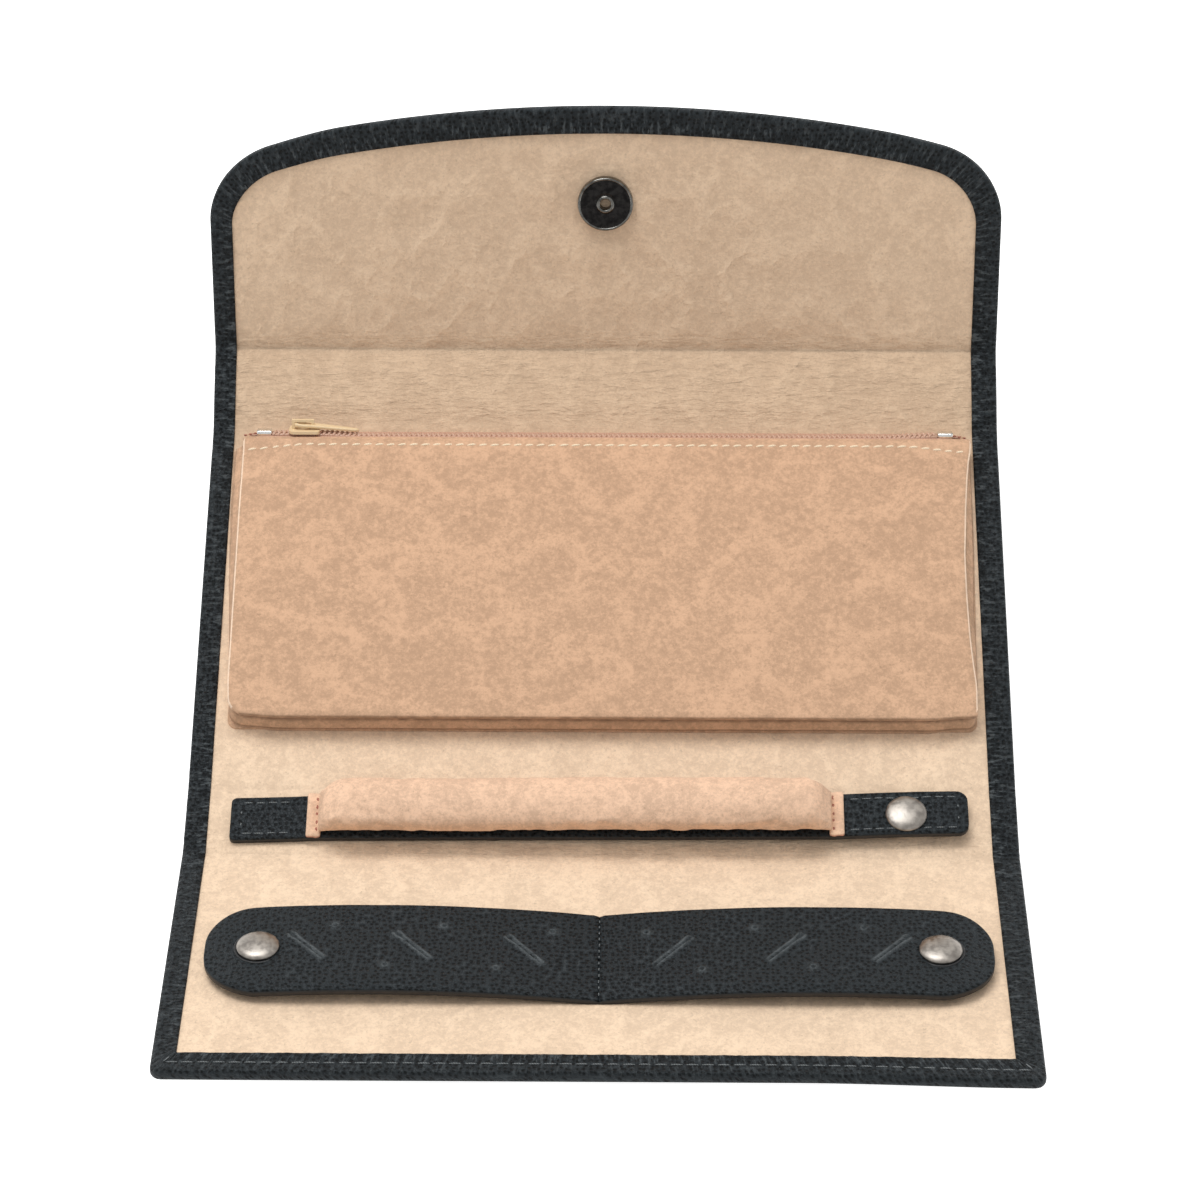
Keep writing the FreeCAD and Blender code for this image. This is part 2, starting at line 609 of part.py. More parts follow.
def strap_openings(z0, height):
    """Slanting slots for hooks and hoops, small holes for posts, and the snap's own hole."""
    cuts = [disc(STRAP_SNAP_X, STRAP_Y, z0, POST_RADIUS + 0.05, height)]
    for x in SLOT_X:
        slot = box(x - SLOT_LENGTH / 2, x + SLOT_LENGTH / 2, STRAP_Y - SLOT_WIDTH / 2,
                   STRAP_Y + SLOT_WIDTH / 2, z0, z0 + height)
        cuts.append(turned(slot, point(x, STRAP_Y, z0), Z_AXIS, SLOT_SLANT))
    for x, y in STRAP_HOLES:
        cuts.append(disc(x, STRAP_Y + y, z0, STRAP_HOLE_RADIUS, height))
    return cuts


def make_earring_strap():
    base = STRAP_REST
    middle = base + STRAP_BACKING
    top = STRAP_TOP
    outline = strap_outline()
    openings = strap_openings(base, top - base)
    pieces = {
        "leather": slab(outline, middle, top).cut(openings),
        "backing": slab(outline, base, middle).cut(openings),
        "snap_cap": snap_cap(STRAP_SNAP_X, STRAP_Y, base, top),
        "snap_socket": snap_socket(STRAP_SNAP_X, STRAP_Y, base),
    }
    pivot = point(STRAP_SPLIT, 0, base)
    for piece, shape in pieces.items():
        raised = turned(shape, pivot, Y_AXIS, -STRAP_SLOPE)
        write("earring_right_" + piece, raised, fold_front)
        write("earring_left_" + piece, raised.mirror(point(0, 0, 0), X_AXIS), fold_front)
    studs = [snap_stud(x, STRAP_Y) for x in (-STRAP_SNAP_X, STRAP_SNAP_X)]
    write("earring_snap_studs", studs, fold_front)
    half = STRAP_WIDTH / 2
    centre = box(-STRAP_SPLIT, STRAP_SPLIT, STRAP_Y - half, STRAP_Y + half, LINING_TOP, top)
    write("earring_strap_centre", centre, fold_front)
    threads = stitch_row(STRAP_Y - half + 1, STRAP_Y + half - 1, 0, top, STRAP_STITCH, True)
    write("earring_strap_stitching", threads, fold_front)


os.makedirs("parts", exist_ok=True)
make_panels()
make_clasp()
make_pocket()
make_zip()
make_ring_bar()
make_earring_strap()
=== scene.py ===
"""Half-open jewellery wallet: the soft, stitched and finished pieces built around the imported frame.

Shapes are drawn unfolded, in the layout's millimetres: X across, Y from the front panel to the flap and
Z out of the lining. bent() and placed() fold them to the rest pose, in metres.
"""
import json
import math
import bpy
import bmesh
import numpy as np
from mathutils import Matrix, Vector, noise
from mathutils.geometry import delaunay_2d_cdt

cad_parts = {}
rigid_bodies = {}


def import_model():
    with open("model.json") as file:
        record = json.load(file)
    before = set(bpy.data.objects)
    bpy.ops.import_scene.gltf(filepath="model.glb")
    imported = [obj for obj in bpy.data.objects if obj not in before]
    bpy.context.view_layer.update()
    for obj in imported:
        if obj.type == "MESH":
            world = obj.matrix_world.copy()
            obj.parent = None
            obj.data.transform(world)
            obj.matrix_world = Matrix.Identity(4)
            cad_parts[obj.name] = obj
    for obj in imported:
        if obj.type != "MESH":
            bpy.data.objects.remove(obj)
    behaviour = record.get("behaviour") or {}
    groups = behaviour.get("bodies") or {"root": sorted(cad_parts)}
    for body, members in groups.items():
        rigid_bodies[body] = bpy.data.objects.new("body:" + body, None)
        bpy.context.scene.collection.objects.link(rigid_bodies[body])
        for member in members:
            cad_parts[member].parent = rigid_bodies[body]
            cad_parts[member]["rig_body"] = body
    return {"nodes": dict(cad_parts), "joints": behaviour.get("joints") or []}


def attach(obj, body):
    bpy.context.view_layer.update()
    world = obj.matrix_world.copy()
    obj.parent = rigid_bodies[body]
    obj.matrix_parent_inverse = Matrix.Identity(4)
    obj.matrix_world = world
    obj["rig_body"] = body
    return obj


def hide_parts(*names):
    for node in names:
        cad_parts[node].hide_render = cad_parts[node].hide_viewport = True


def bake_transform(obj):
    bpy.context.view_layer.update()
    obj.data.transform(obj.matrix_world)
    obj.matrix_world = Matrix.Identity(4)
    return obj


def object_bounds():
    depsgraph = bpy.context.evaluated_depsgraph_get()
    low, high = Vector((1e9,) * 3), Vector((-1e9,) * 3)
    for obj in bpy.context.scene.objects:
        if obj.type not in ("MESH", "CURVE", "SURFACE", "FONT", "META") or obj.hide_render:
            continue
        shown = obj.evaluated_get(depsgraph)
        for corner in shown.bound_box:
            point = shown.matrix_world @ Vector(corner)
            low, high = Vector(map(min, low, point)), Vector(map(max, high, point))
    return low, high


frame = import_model()
cad_low, cad_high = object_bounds()
JOINTS = {j["name"]: j for j in frame["joints"]}
MM = 0.001
rng = np.random.default_rng(11)


# ---- the layout, read from the frame ----
def pivot(name):
    return np.array(JOINTS[name]["pos_m"]) / MM


PANEL_TOP = pivot("lower_fold")[2]
LOWER_FOLD = pivot("lower_fold")[1]
UPPER_FOLD = pivot("upper_fold")[1]
FRONT_FOLD = LOWER_FOLD - np.linalg.norm(pivot("front_fold") - pivot("lower_fold"))
FLAP_FOLD = UPPER_FOLD + np.linalg.norm(pivot("flap_fold") - pivot("upper_fold"))

# fold line, side that turns, and how far the bend spreads each way at rest
FOLDS = {
    "flap_fold": (FLAP_FOLD, 1, 5.0),
    "upper_fold": (UPPER_FOLD, 1, 8.0),
    "front_fold": (FRONT_FOLD, -1, 4.0),
    "lower_fold": (LOWER_FOLD, -1, 4.0),
}
REST = {name: math.radians(-JOINTS[name]["range_deg"][0]) for name in FOLDS}
BODY_FOLDS = {
    "back_panel": (),
    "lower_spine": ("lower_fold",),
    "front_panel": ("front_fold", "lower_fold"),
    "upper_spine": ("upper_fold",),
    "flap": ("flap_fold", "upper_fold"),
}
BODY_FOLDS["ring_bar"] = BODY_FOLDS["lower_spine"]
BODY_FOLDS["earring_left"] = BODY_FOLDS["earring_right"] = BODY_FOLDS["front_panel"]
BODY_FOLDS["zip_slider"] = BODY_FOLDS["zip_pull"] = ()
BLEND_REACH = 3.0


def smooth(t):
    t = np.clip(t, 0, 1)
    return t * t * (3 - 2 * t)


def turn(co, line, angle):
    """Turns layout points about a fold line, by one angle or by one each."""
    c, s = np.cos(angle), np.sin(angle)
    y, z = co[:, 1] - line, co[:, 2] - PANEL_TOP
    return np.stack([co[:, 0], line + y * c - z * s, PANEL_TOP + y * s + z * c], axis=1)


def bent(co):
    """Layout points that bend smoothly over the folds, in metres at rest."""
    y = co[:, 1].copy()
    for name, (line, side, spread) in FOLDS.items():
        share = smooth((side * (y - line) + spread) / (2 * spread))
        co = turn(co, line, side * REST[name] * share)
    return co * MM


def placed(co, body):
    """Layout points that go with one body, in metres at rest."""
    for name in BODY_FOLDS[body]:
        line, side, _ = FOLDS[name]
        co = turn(co, line, side * REST[name])
    return co * MM


def layout_box(node):
    """Lowest and highest corner of a CAD node once it is unfolded."""
    obj = frame["nodes"][node]
    co = np.zeros(len(obj.data.vertices) * 3)
    obj.data.vertices.foreach_get("co", co)
    co = co.reshape(-1, 3) / MM
    for name in reversed(BODY_FOLDS[obj["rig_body"]]):
        line, side, _ = FOLDS[name]
        co = turn(co, line, -side * REST[name])
    return co.min(0), co.max(0)


# ---- materials ----
class Look:
    """A Principled material made from procedural layers. Lengths are in millimetres."""

    def __init__(self, name, coords, **sockets):
        self.material = bpy.data.materials.new(name)
        self.material.use_nodes = True
        self.tree = self.material.node_tree
        self.shader = self.tree.nodes["Principled BSDF"]
        for key, value in sockets.items():
            self.shader.inputs[key.replace("_", " ")].default_value = value
        if coords == "layout":
            self.place = self.node("ShaderNodeAttribute", attribute_name="layout").outputs["Vector"]
        else:
            self.place = self.node("ShaderNodeTexCoord").outputs["Object"]
        self.tint = self.mark("tint")

    def node(self, kind, inputs=None, **settings):
        made = self.tree.nodes.new(kind)
        for key, value in settings.items():
            setattr(made, key, value)
        for key, value in (inputs or {}).items():
            if isinstance(value, bpy.types.NodeSocket):
                self.tree.links.new(value, made.inputs[key])
            else:
                made.inputs[key].default_value = value
        return made

    def stretched(self, x, y, z=1.0):
        """The place with each direction divided by a length."""
        scale = (1 / x, 1 / y, 1 / z)
        return self.node("ShaderNodeMapping", {"Vector": self.place, "Scale": scale}).outputs["Vector"]

    def warped(self, vector, size, amount):
        """A vector pushed about by noise."""
        push = self.node("ShaderNodeTexNoise", {"Vector": vector, "Scale": 1 / (size * MM), "Detail": 3.0})
        centred = self.node("ShaderNodeVectorMath", {0: push.outputs["Color"], 1: (0.5, 0.5, 0.5)},
                            operation="SUBTRACT")
        scaled = self.node("ShaderNodeVectorMath", {0: centred.outputs[0], "Scale": amount * MM},
                           operation="SCALE")
        return self.node("ShaderNodeVectorMath", {0: vector, 1: scaled.outputs[0]}, operation="ADD").outputs[0]

    def noise(self, size, detail=4.0, vector=None, roughness=0.5):
        return self.node("ShaderNodeTexNoise", {
            "Vector": vector or self.place, "Scale": 1 / (size * MM), "Detail": detail,
            "Roughness": roughness}).outputs["Fac"]

    def cells(self, size, vector, inputs=None, **settings):
        """Distances in a pattern of cells about size across."""
        return self.node("ShaderNodeTexVoronoi", {"Vector": vector, "Scale": 1 / (size * MM), **(inputs or {})},
                         **settings).outputs["Distance"]

    def waves(self, size, distortion, direction):
        return self.node("ShaderNodeTexWave", {"Vector": self.place, "Scale": 1 / (size * MM),
                                               "Distortion": distortion}, bands_direction=direction).outputs["Fac"]

    def mark(self, key):
        """One of the mesh's own numbers at each point."""
        return self.node("ShaderNodeAttribute", attribute_name=key).outputs["Fac"]

    def math(self, operation, a, b=0.0):
        return self.node("ShaderNodeMath", {0: a, 1: b}, operation=operation).outputs[0]

    def plus(self, a, b):
        return self.math("ADD", a, b)

    def times(self, a, b):
        return self.math("MULTIPLY", a, b)

    def span(self, value, low, high, to_low=0.0, to_high=1.0):
        return self.node("ShaderNodeMapRange", {
            "Value": value, "From Min": low, "From Max": high, "To Min": to_low, "To Max": to_high},
            interpolation_type="SMOOTHSTEP").outputs["Result"]

    def ridges(self, value, width):
        """1 along the lines where a noise crosses its middle, falling to 0 at width."""
        off = self.math("ABSOLUTE", self.math("SUBTRACT", value, 0.5))
        return self.span(off, 0.0, width, 1.0, 0.0)

    def mix(self, factor, a, b):
        made = self.node("ShaderNodeMix", data_type="RGBA")
        for socket, value in zip((made.inputs[0], made.inputs[6], made.inputs[7]), (factor, a, b)):
            if isinstance(value, bpy.types.NodeSocket):
                self.tree.links.new(value, socket)
            elif isinstance(value, tuple):
                socket.default_value = (*value, 1.0)
            else:
                socket.default_value = value
        return made.outputs[2]

    def wire(self, socket, value):
        self.tree.links.new(value, self.shader.inputs[socket])

    def bumps(self, *layers):
        """Layers of (height, millimetres), lowest first."""
        normal = None
        for height, depth in layers:
            inputs = {"Height": height, "Distance": depth * MM, "Strength": 1.0}
            if normal is not None:
                inputs["Normal"] = normal
            normal = self.node("ShaderNodeBump", inputs).outputs["Normal"]
        self.wire("Normal", normal)


CELL = 1.38              # leather grain
CHARCOAL = (0.0195, 0.0252, 0.0290)
CHARCOAL_PIT = (0.0025, 0.0040, 0.0048)
CHARCOAL_WORN = (0.040, 0.048, 0.053)
# colour of the painted highlights on the border's pleats and on the strap's lips
PAINTED_HIGHLIGHT = (0.115, 0.130, 0.137)


def leather(name, coords, border=False):
    """Printed leather. The shell's border is pleated across, where it is turned over the edge, with painted shade in
    the pleats' dips and painted highlights on their crests. A mark paints highlights on the lips of the strap's slits
    and holes.
    """
    look = Look(name, coords, Specular_IOR_Level=0.20)
    apart = look.node("ShaderNodeSeparateXYZ", {"Vector": look.place})
    lifted = look.node("ShaderNodeCombineXYZ", {
        key: look.plus(apart.outputs[key], look.times(apart.outputs["Z"], 0.7)) for key in "XY"}).outputs[0]
    warped = look.warped(lifted, 2.4, 0.45)
    pits = look.cells(CELL, warped, {"Randomness": 0.74}, voronoi_dimensions="2D", feature="F1")
    grain = look.span(pits, 0.12, 0.40)
    domes = look.cells(CELL * 0.62, warped, voronoi_dimensions="2D", feature="DISTANCE_TO_EDGE")
    pebbles = look.span(domes, 0.0, 0.16)
    fine = look.noise(0.30, 3.0)
    patches = look.noise(8.0, 4.0)
    colour = look.mix(grain, CHARCOAL_PIT, CHARCOAL)
    colour = look.mix(look.span(pebbles, 0.0, 1.0, 0.35, 0.0), colour, CHARCOAL_PIT)
    worn = look.times(look.span(pits, 0.5, 0.75), look.span(patches, 0.40, 0.70))
    colour = look.mix(worn, colour, CHARCOAL_WORN)
    # a mark lightens the leather: painted highlights on the lips of the strap's slits and holes
    colour = look.mix(look.tint, colour, PAINTED_HIGHLIGHT)
    layers = [(look.plus(grain, look.times(pebbles, 0.5)), 0.20), (fine, 0.03)]
    if border:
        along, across, pleated = (look.mark(key) for key in ("along", "across", "pleated"))
        edgeways = look.node("ShaderNodeCombineXYZ", {"X": along, "Y": look.times(across, 0.28)})
        pleats = look.noise(0.95, 3.0, look.warped(edgeways.outputs[0], 1.8, 0.7), 0.6)
        dips = look.times(look.span(pleats, 0.51, 0.41), pleated)
        crests = look.times(look.span(pleats, 0.53, 0.64), pleated)
        # painted shade in the pleats' dips and painted highlights on their crests
        colour = look.mix(look.times(dips, 0.90), colour, CHARCOAL_PIT)
        colour = look.mix(look.times(crests, 0.60), colour, PAINTED_HIGHLIGHT)
        layers.append((look.times(pleats, pleated), 0.80))
    look.wire("Base Color", colour)
    look.wire("Roughness", look.span(patches, 0.3, 0.7, 0.52, 0.64))
    look.bumps(*layers)
    return look.material


def edge_paint(name, coords):
    look = Look(name, coords, Specular_IOR_Level=0.5)
    look.wire("Base Color", look.mix(look.noise(0.7), (0.006, 0.007, 0.008), (0.018, 0.019, 0.021)))
    look.wire("Roughness", look.span(look.noise(1.5), 0.3, 0.7, 0.42, 0.6))
    look.bumps((look.noise(0.35, 3.0), 0.05))
    return look.material


def suede(name, coords, dark, middle, light, run=(1.0, 1.0), crumple=0.30, lining=False):
    """Brushed suede. run stretches its crumples in x and y. The lining reads its wrinkles and a painted shade that
    darkens it over the spine and the flap.
    """
    look = Look(name, coords, Specular_IOR_Level=0.10, Sheen_Weight=0.10, Sheen_Roughness=0.5,
                Sheen_Tint=(1.0, 0.93, 0.85, 1.0))
    patches = look.noise(14.0, 6.0, roughness=0.65)
    mottle = look.noise(2.0, 5.0, roughness=0.72)
    nap = look.noise(0.75, 3.0, roughness=0.8)
    along = look.warped(look.stretched(*run), 12.0, 5.0)
    folds = look.node("ShaderNodeTexNoise", {"Vector": along, "Scale": 1 / (13.0 * MM), "Detail": 5.0,
                                             "Roughness": 0.6, "Offset": 0.85, "Gain": 1.6},
                      noise_type="RIDGED_MULTIFRACTAL").outputs["Fac"]
    facets = look.cells(8.0, along, {"Smoothness": 0.3}, feature="SMOOTH_F1")
    total = look.plus(look.times(patches, 0.5), look.times(mottle, 2.0))
    total = look.plus(total, look.times(nap, 1.7))
    total = look.plus(total, look.times(look.span(folds, 0.55, 1.05), 0.25))
    layers = [(folds, crumple), (facets, crumple * 1.1), (mottle, 0.14), (nap, 0.12)]
    if lining:
        ridged = look.mark("ridged")
        across = look.warped(look.stretched(3.2, 1.0), 4.0, 2.2)
        ribs = look.noise(1.5, 4.0, across, 0.6)
        ribs = look.times(look.math("SUBTRACT", ribs, 0.5), ridged)
        total = look.plus(total, look.times(ribs, 1.0))
        layers.append((ribs, 0.65))
    specks = look.span(look.noise(0.9, 2.0), 0.66, 0.74)
    colour = look.mix(look.span(total, 1.75, 2.70), dark, light)
    colour = look.mix(0.25, colour, middle)
    colour = look.mix(look.times(specks, 0.30), colour, tuple(0.55 * c for c in dark))
    if lining:
        # painted shade: the lining over the spine, and less over the flap, is darkened where less light falls
        colour = look.mix(look.mark("painted_panel_shade"), colour, tuple(k * c for k, c in zip((0.50, 0.40, 0.30), dark)))
    # painted shade: a mark darkens the suede in the lining's fold lines, under the pocket wall's bottom edge and in
    # the gusset's seam and fold
    colour = look.mix(look.tint, colour, tuple(0.42 * c for c in dark))
    look.wire("Base Color", colour)
    look.wire("Roughness", look.span(nap, 0.3, 0.7, 0.86, 0.98))
    look.bumps(*layers)
    return look.material


def thread(name, coords, dark, light):
    look = Look(name, coords, Specular_IOR_Level=0.3)
    twist = look.waves(0.9, 1.5, "DIAGONAL")
    look.wire("Base Color", look.mix(twist, dark, light))
    look.wire("Roughness", look.span(twist, 0.0, 1.0, 0.75, 0.6))
    look.bumps((twist, 0.04))
    return look.material


def metal(name, coords, dark, light, roughness):
    look = Look(name, coords, Metallic=1.0)
    patches = look.noise(1.4, 4.0)
    scuffs = look.ridges(look.noise(2.6, 3.0, look.warped(look.place, 2.0, 2.0)), 0.012)
    look.wire("Base Color", look.mix(look.span(patches, 0.3, 0.7), dark, light))
    worn = look.times(scuffs, 0.10)
    look.wire("Roughness", look.plus(look.span(patches, 0.3, 0.7, roughness * 0.8, roughness * 1.2), worn))
    look.bumps((patches, 0.012), (scuffs, -0.006))
    return look.material


def painted(name, coords, dark, light):
    look = Look(name, coords, Specular_IOR_Level=0.5, Coat_Weight=0.15, Coat_Roughness=0.25)
    patches = look.noise(1.8, 4.0)
    look.wire("Base Color", look.mix(patches, dark, light))
    look.wire("Roughness", look.span(patches, 0.3, 0.7, 0.32, 0.45))
    look.bumps((look.noise(0.6, 3.0), 0.02))
    return look.material


def woven(name, coords, dark, light):
    look = Look(name, coords, Specular_IOR_Level=0.2)
    cloth = look.times(look.waves(2.2, 0.6, "Y"), look.waves(1.3, 0.6, "X"))
    look.wire("Base Color", look.mix(cloth, dark, light))
    look.wire("Roughness", look.span(cloth, 0.0, 1.0, 0.95, 0.8))
    look.bumps((cloth, 0.06))
    return look.material


def board(name, coords):
    look = Look(name, coords, Specular_IOR_Level=0.2)
    fibres = look.noise(1.2, 5.0, look.stretched(3.0, 1.0))
    look.wire("Base Color", look.mix(fibres, (0.30, 0.26, 0.20), (0.52, 0.46, 0.38)))
    look.wire("Roughness", look.span(fibres, 0.3, 0.7, 0.8, 0.95))
    look.bumps((fibres, 0.05))
    return look.material


def shades(colour, spread):
    """A darker, middle and lighter shade of one colour."""
    return tuple(tuple(min(0.95, c * k) for c in colour) for k in (1 - spread, 1.0, 1 + spread))


LINING = ((0.700, 0.530, 0.383), (0.86, 0.650, 0.465), (0.945, 0.728, 0.527))
POCKET = shades((0.612, 0.388, 0.251), 0.22)
PAD = shades((0.785, 0.530, 0.370), 0.20)

SHELL_LEATHER = leather("shell_leather", "layout", border=True)
STRAP_LEATHER = leather("strap_leather", "layout")
STRAP_EDGE = edge_paint("strap_edge", "layout")
STRAP_BACK = suede("strap_back", "layout", *shades((0.035, 0.03, 0.027), 0.4))
LINING_LOOK = suede("suede_lining", "layout", *LINING, (0.9, 1.3), 0.34, lining=True)
POCKET_LOOK = suede("suede_pocket", "layout", *POCKET, (1.3, 1.0), 0.16)
PAD_LOOK = suede("suede_pad", "layout", *PAD, (0.7, 1.0), 0.16)
RAW_EDGE = suede("suede_raw_edge", "layout", *shades((0.62, 0.33, 0.25), 0.25))
# lighter suede for the pocket wall's side edges: partly rubbed wear, partly a painted highlight where they catch the
# light
EDGE_WEAR_AND_HIGHLIGHT = suede("suede_edge_wear_and_highlight", "layout", *shades((0.84, 0.64, 0.48), 0.10))
CREAM_THREAD = thread("cream_thread", "layout", (0.80, 0.62, 0.42), (0.98, 0.84, 0.64))
GREY_THREAD = thread("grey_thread", "layout", (0.085, 0.095, 0.10), (0.22, 0.235, 0.24))
RED_THREAD = thread("red_thread", "layout", (0.26, 0.09, 0.06), (0.50, 0.22, 0.16))
COIL = painted("zip_coil", "layout", (0.50, 0.30, 0.21), (0.66, 0.43, 0.32))
TAPE = woven("zip_tape", "layout", (0.48, 0.27, 0.19), (0.68, 0.45, 0.34))
PAINT_SHADES = (0.74, 0.55, 0.32), (0.84, 0.66, 0.42)
PAINT = painted("zip_paint", "object", *PAINT_SHADES)
PAINT_TAB = painted("zip_paint_tab", "layout", *PAINT_SHADES)
NICKEL = metal("nickel", "layout", (0.29, 0.265, 0.24), (0.44, 0.405, 0.365), 0.40)
NICKEL_CAD = metal("nickel_fittings", "object", (0.55, 0.51, 0.46), (0.74, 0.70, 0.64), 0.22)
BRIGHT = metal("bright_metal", "object", (0.80, 0.82, 0.81), (0.95, 0.96, 0.95), 0.16)
GUNMETAL = metal("gunmetal", "layout", (0.016, 0.015, 0.015), (0.040, 0.038, 0.037), 0.28)
GUNMETAL_CAD = metal("gunmetal_fittings", "object", (0.05, 0.055, 0.06), (0.11, 0.115, 0.12), 0.32)
RIM = metal("magnet_rim", "layout", (0.10, 0.10, 0.095), (0.22, 0.215, 0.20), 0.20)
FERRITE = metal("ferrite", "object", (0.03, 0.03, 0.03), (0.07, 0.07, 0.07), 0.55)
BOARD = board("board", "object")


# ---- mesh helpers ----
def add_mesh(name, co, faces, materials, place, slots=None, marks=None):
    """A mesh from layout points, folded by place, that keeps its layout and marks for its materials."""
    data = bpy.data.meshes.new(name)
    data.from_pydata(place(np.asarray(co, float)).tolist(), [], faces)
    data.shade_smooth()
    for material in materials:
        data.materials.append(material)
    if slots is not None:
        data.polygons.foreach_set("material_index", slots)
    attribute = data.attributes.new("layout", "FLOAT_VECTOR", "POINT")
    attribute.data.foreach_set("vector", (np.asarray(co, float) * MM).astype(np.float32).ravel())
    for key, values in (marks or {}).items():
        data.attributes.new(key, "FLOAT", "POINT").data.foreach_set("value", np.asarray(values, np.float32))
    obj = bpy.data.objects.new(name, data)
    bpy.context.scene.collection.objects.link(obj)
    return obj


def on_body(body):
    return lambda co: placed(co, body)


def riding(name, co, faces, materials, body, slots=None, marks=None):
    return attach(add_mesh(name, co, faces, materials, on_body(body), slots, marks), body)


def sharpen_border(obj):
    """Keeps a sheet's shading level up to its open border, where the next piece goes on."""
    sheet = bmesh.new()
    sheet.from_mesh(obj.data)
    for edge in sheet.edges:
        edge.smooth = not edge.is_boundary
    sheet.to_mesh(obj.data)
    sheet.free()


def joined(parts):
    """Several (points, faces) as one."""
    co, faces, start = [], [], 0
    for points, polygons in parts:
        co.append(np.asarray(points, float))
        faces += [tuple(start + i for i in face) for face in polygons]
        start += len(points)
    return np.concatenate(co), faces


def quads(rows, columns, wrap=False):
    """The faces of a grid of points, rows by columns."""
    faces = []
    for r in range(rows - 1):
        for c in range(columns if wrap else columns - 1):
            d = (c + 1) % columns
            faces.append((r * columns + c, r * columns + d, (r + 1) * columns + d, (r + 1) * columns + c))
    return faces


def flipped(faces):
    """The same faces turned the other way."""
    return [f[::-1] for f in faces]


def tube_faces(rings, sides):
    """The faces of a tube made of rings of points, closed at both ends."""
    last = (rings - 1) * sides
    return quads(rings, sides, True) + [tuple(range(sides))[::-1], tuple(range(last, last + sides))]


def bell(offset, width):
    """1 at no offset, falling off evenly on both sides."""
    return np.exp(-(offset / width) ** 2)


def level(height):
    """A flat upper face for plate() and stitch_line()."""
    return lambda p: np.full(len(p), height)


def noise_at(co, size, seed=0.0):
    """Smooth noise from about -1 to 1 at each point."""
    return np.array([noise.noise(Vector((x / size, y / size, seed))) for x, y in co[:, :2]])


def inside(points, loop):
    """Which 2-D points are inside a closed loop."""
    x, y = points[:, 0], points[:, 1]
    found = np.zeros(len(points), bool)
    for (x0, y0), (x1, y1) in zip(loop, np.roll(loop, -1, axis=0)):
        if y0 != y1:
            crosses = (y0 > y) != (y1 > y)
            found ^= crosses & (x < (x1 - x0) * (y - y0) / (y1 - y0) + x0)
    return found


def inset(loop, distance):
    """A closed anticlockwise loop moved inwards."""
    ahead = np.roll(loop, -1, axis=0) - loop
    ahead /= np.linalg.norm(ahead, axis=1)[:, None]
    behind = np.roll(ahead, 1, axis=0)
    normal = np.stack([-(ahead + behind)[:, 1], (ahead + behind)[:, 0]], axis=1)
    normal /= np.linalg.norm(normal, axis=1)[:, None]
    lean = np.clip((normal * np.stack([-ahead[:, 1], ahead[:, 0]], axis=1)).sum(1), 0.5, 1)
    return loop + normal * (distance / lean)[:, None]


def resampled(loop, step):
    """A closed loop with points about step apart, its own corners kept."""
    out = []
    for a, b in zip(loop, np.roll(loop, -1, axis=0)):
        count = max(1, int(round(np.linalg.norm(b - a) / step)))
        out += [a + (b - a) * i / count for i in range(count)]
    return np.array(out)


def rounded_loop(x0, x1, y0, y1, corners, segments=8):
    """An anticlockwise rectangle with a radius for each corner, from the low left."""
    out = []
    places = ((x0, y0, 180), (x1, y0, 270), (x1, y1, 0), (x0, y1, 90))
    for (x, y, start), r in zip(places, corners):
        cx = x + r if x == x0 else x - r
        cy = y + r if y == y0 else y - r
        if r == 0:
            out.append((x, y))
            continue
        for i in range(segments + 1):
            a = math.radians(start + 90 * i / segments)
            out.append((cx + r * math.cos(a), cy + r * math.sin(a)))
    return np.array(out)


def filled(loops, holes, spacing, lines=(), marks=()):
    """Triangles filling the first loop, with the holes, lines and closed marks as edges. Returns points and faces.

    The loops' own points come first, in order."""
    points, edges, start = [], [], 0
    for group, closed in ((loops, True), (holes, True), (lines, False), (marks, True)):
        for line in group:
            n = len(line)
            edges += [(start + i, start + (i + 1) % n) for i in range(n if closed else n - 1)]
            points.append(np.asarray(line))
            start += n
    low, high = loops[-1].min(0), loops[-1].max(0)
    rows = np.arange(low[1], high[1], spacing * 0.87)
    grid = [(x + (spacing / 2 if i % 2 else 0), y) for i, y in enumerate(rows)
            for x in np.arange(low[0], high[0], spacing)]
    grid = np.array(grid) + rng.uniform(-0.12, 0.12, (len(grid), 2)) * spacing
    grid = grid[inside(grid, inset(loops[-1], spacing * 0.45))]
    for hole in holes:
        grid = grid[~inside(grid, inset(hole, -spacing * 0.45))]
    for line in lines:
        grid = grid[np.abs(grid[:, 1] - line[0][1]) > spacing * 0.45]
    for mark in marks:
        grid = grid[~inside(grid, inset(mark, -spacing * 0.4))]
    points.append(grid)
    everything = np.concatenate(points)
    made = delaunay_2d_cdt([Vector(p) for p in everything], edges, [], 0, 1e-7)
    co = np.array([tuple(v) for v in made[0]])
    faces = np.array([f for f in made[2] if len(f) == 3])
    centres = co[faces].mean(1)
    keep = inside(centres, loops[0])
    for hole in holes:
        keep &= ~inside(centres, hole)
    faces = faces[keep]
    a, b, c = co[faces[:, 0]], co[faces[:, 1]], co[faces[:, 2]]
    flip = np.cross(b - a, c - a) < 0
    faces[flip] = faces[flip][:, ::-1]
    return co, faces.tolist()


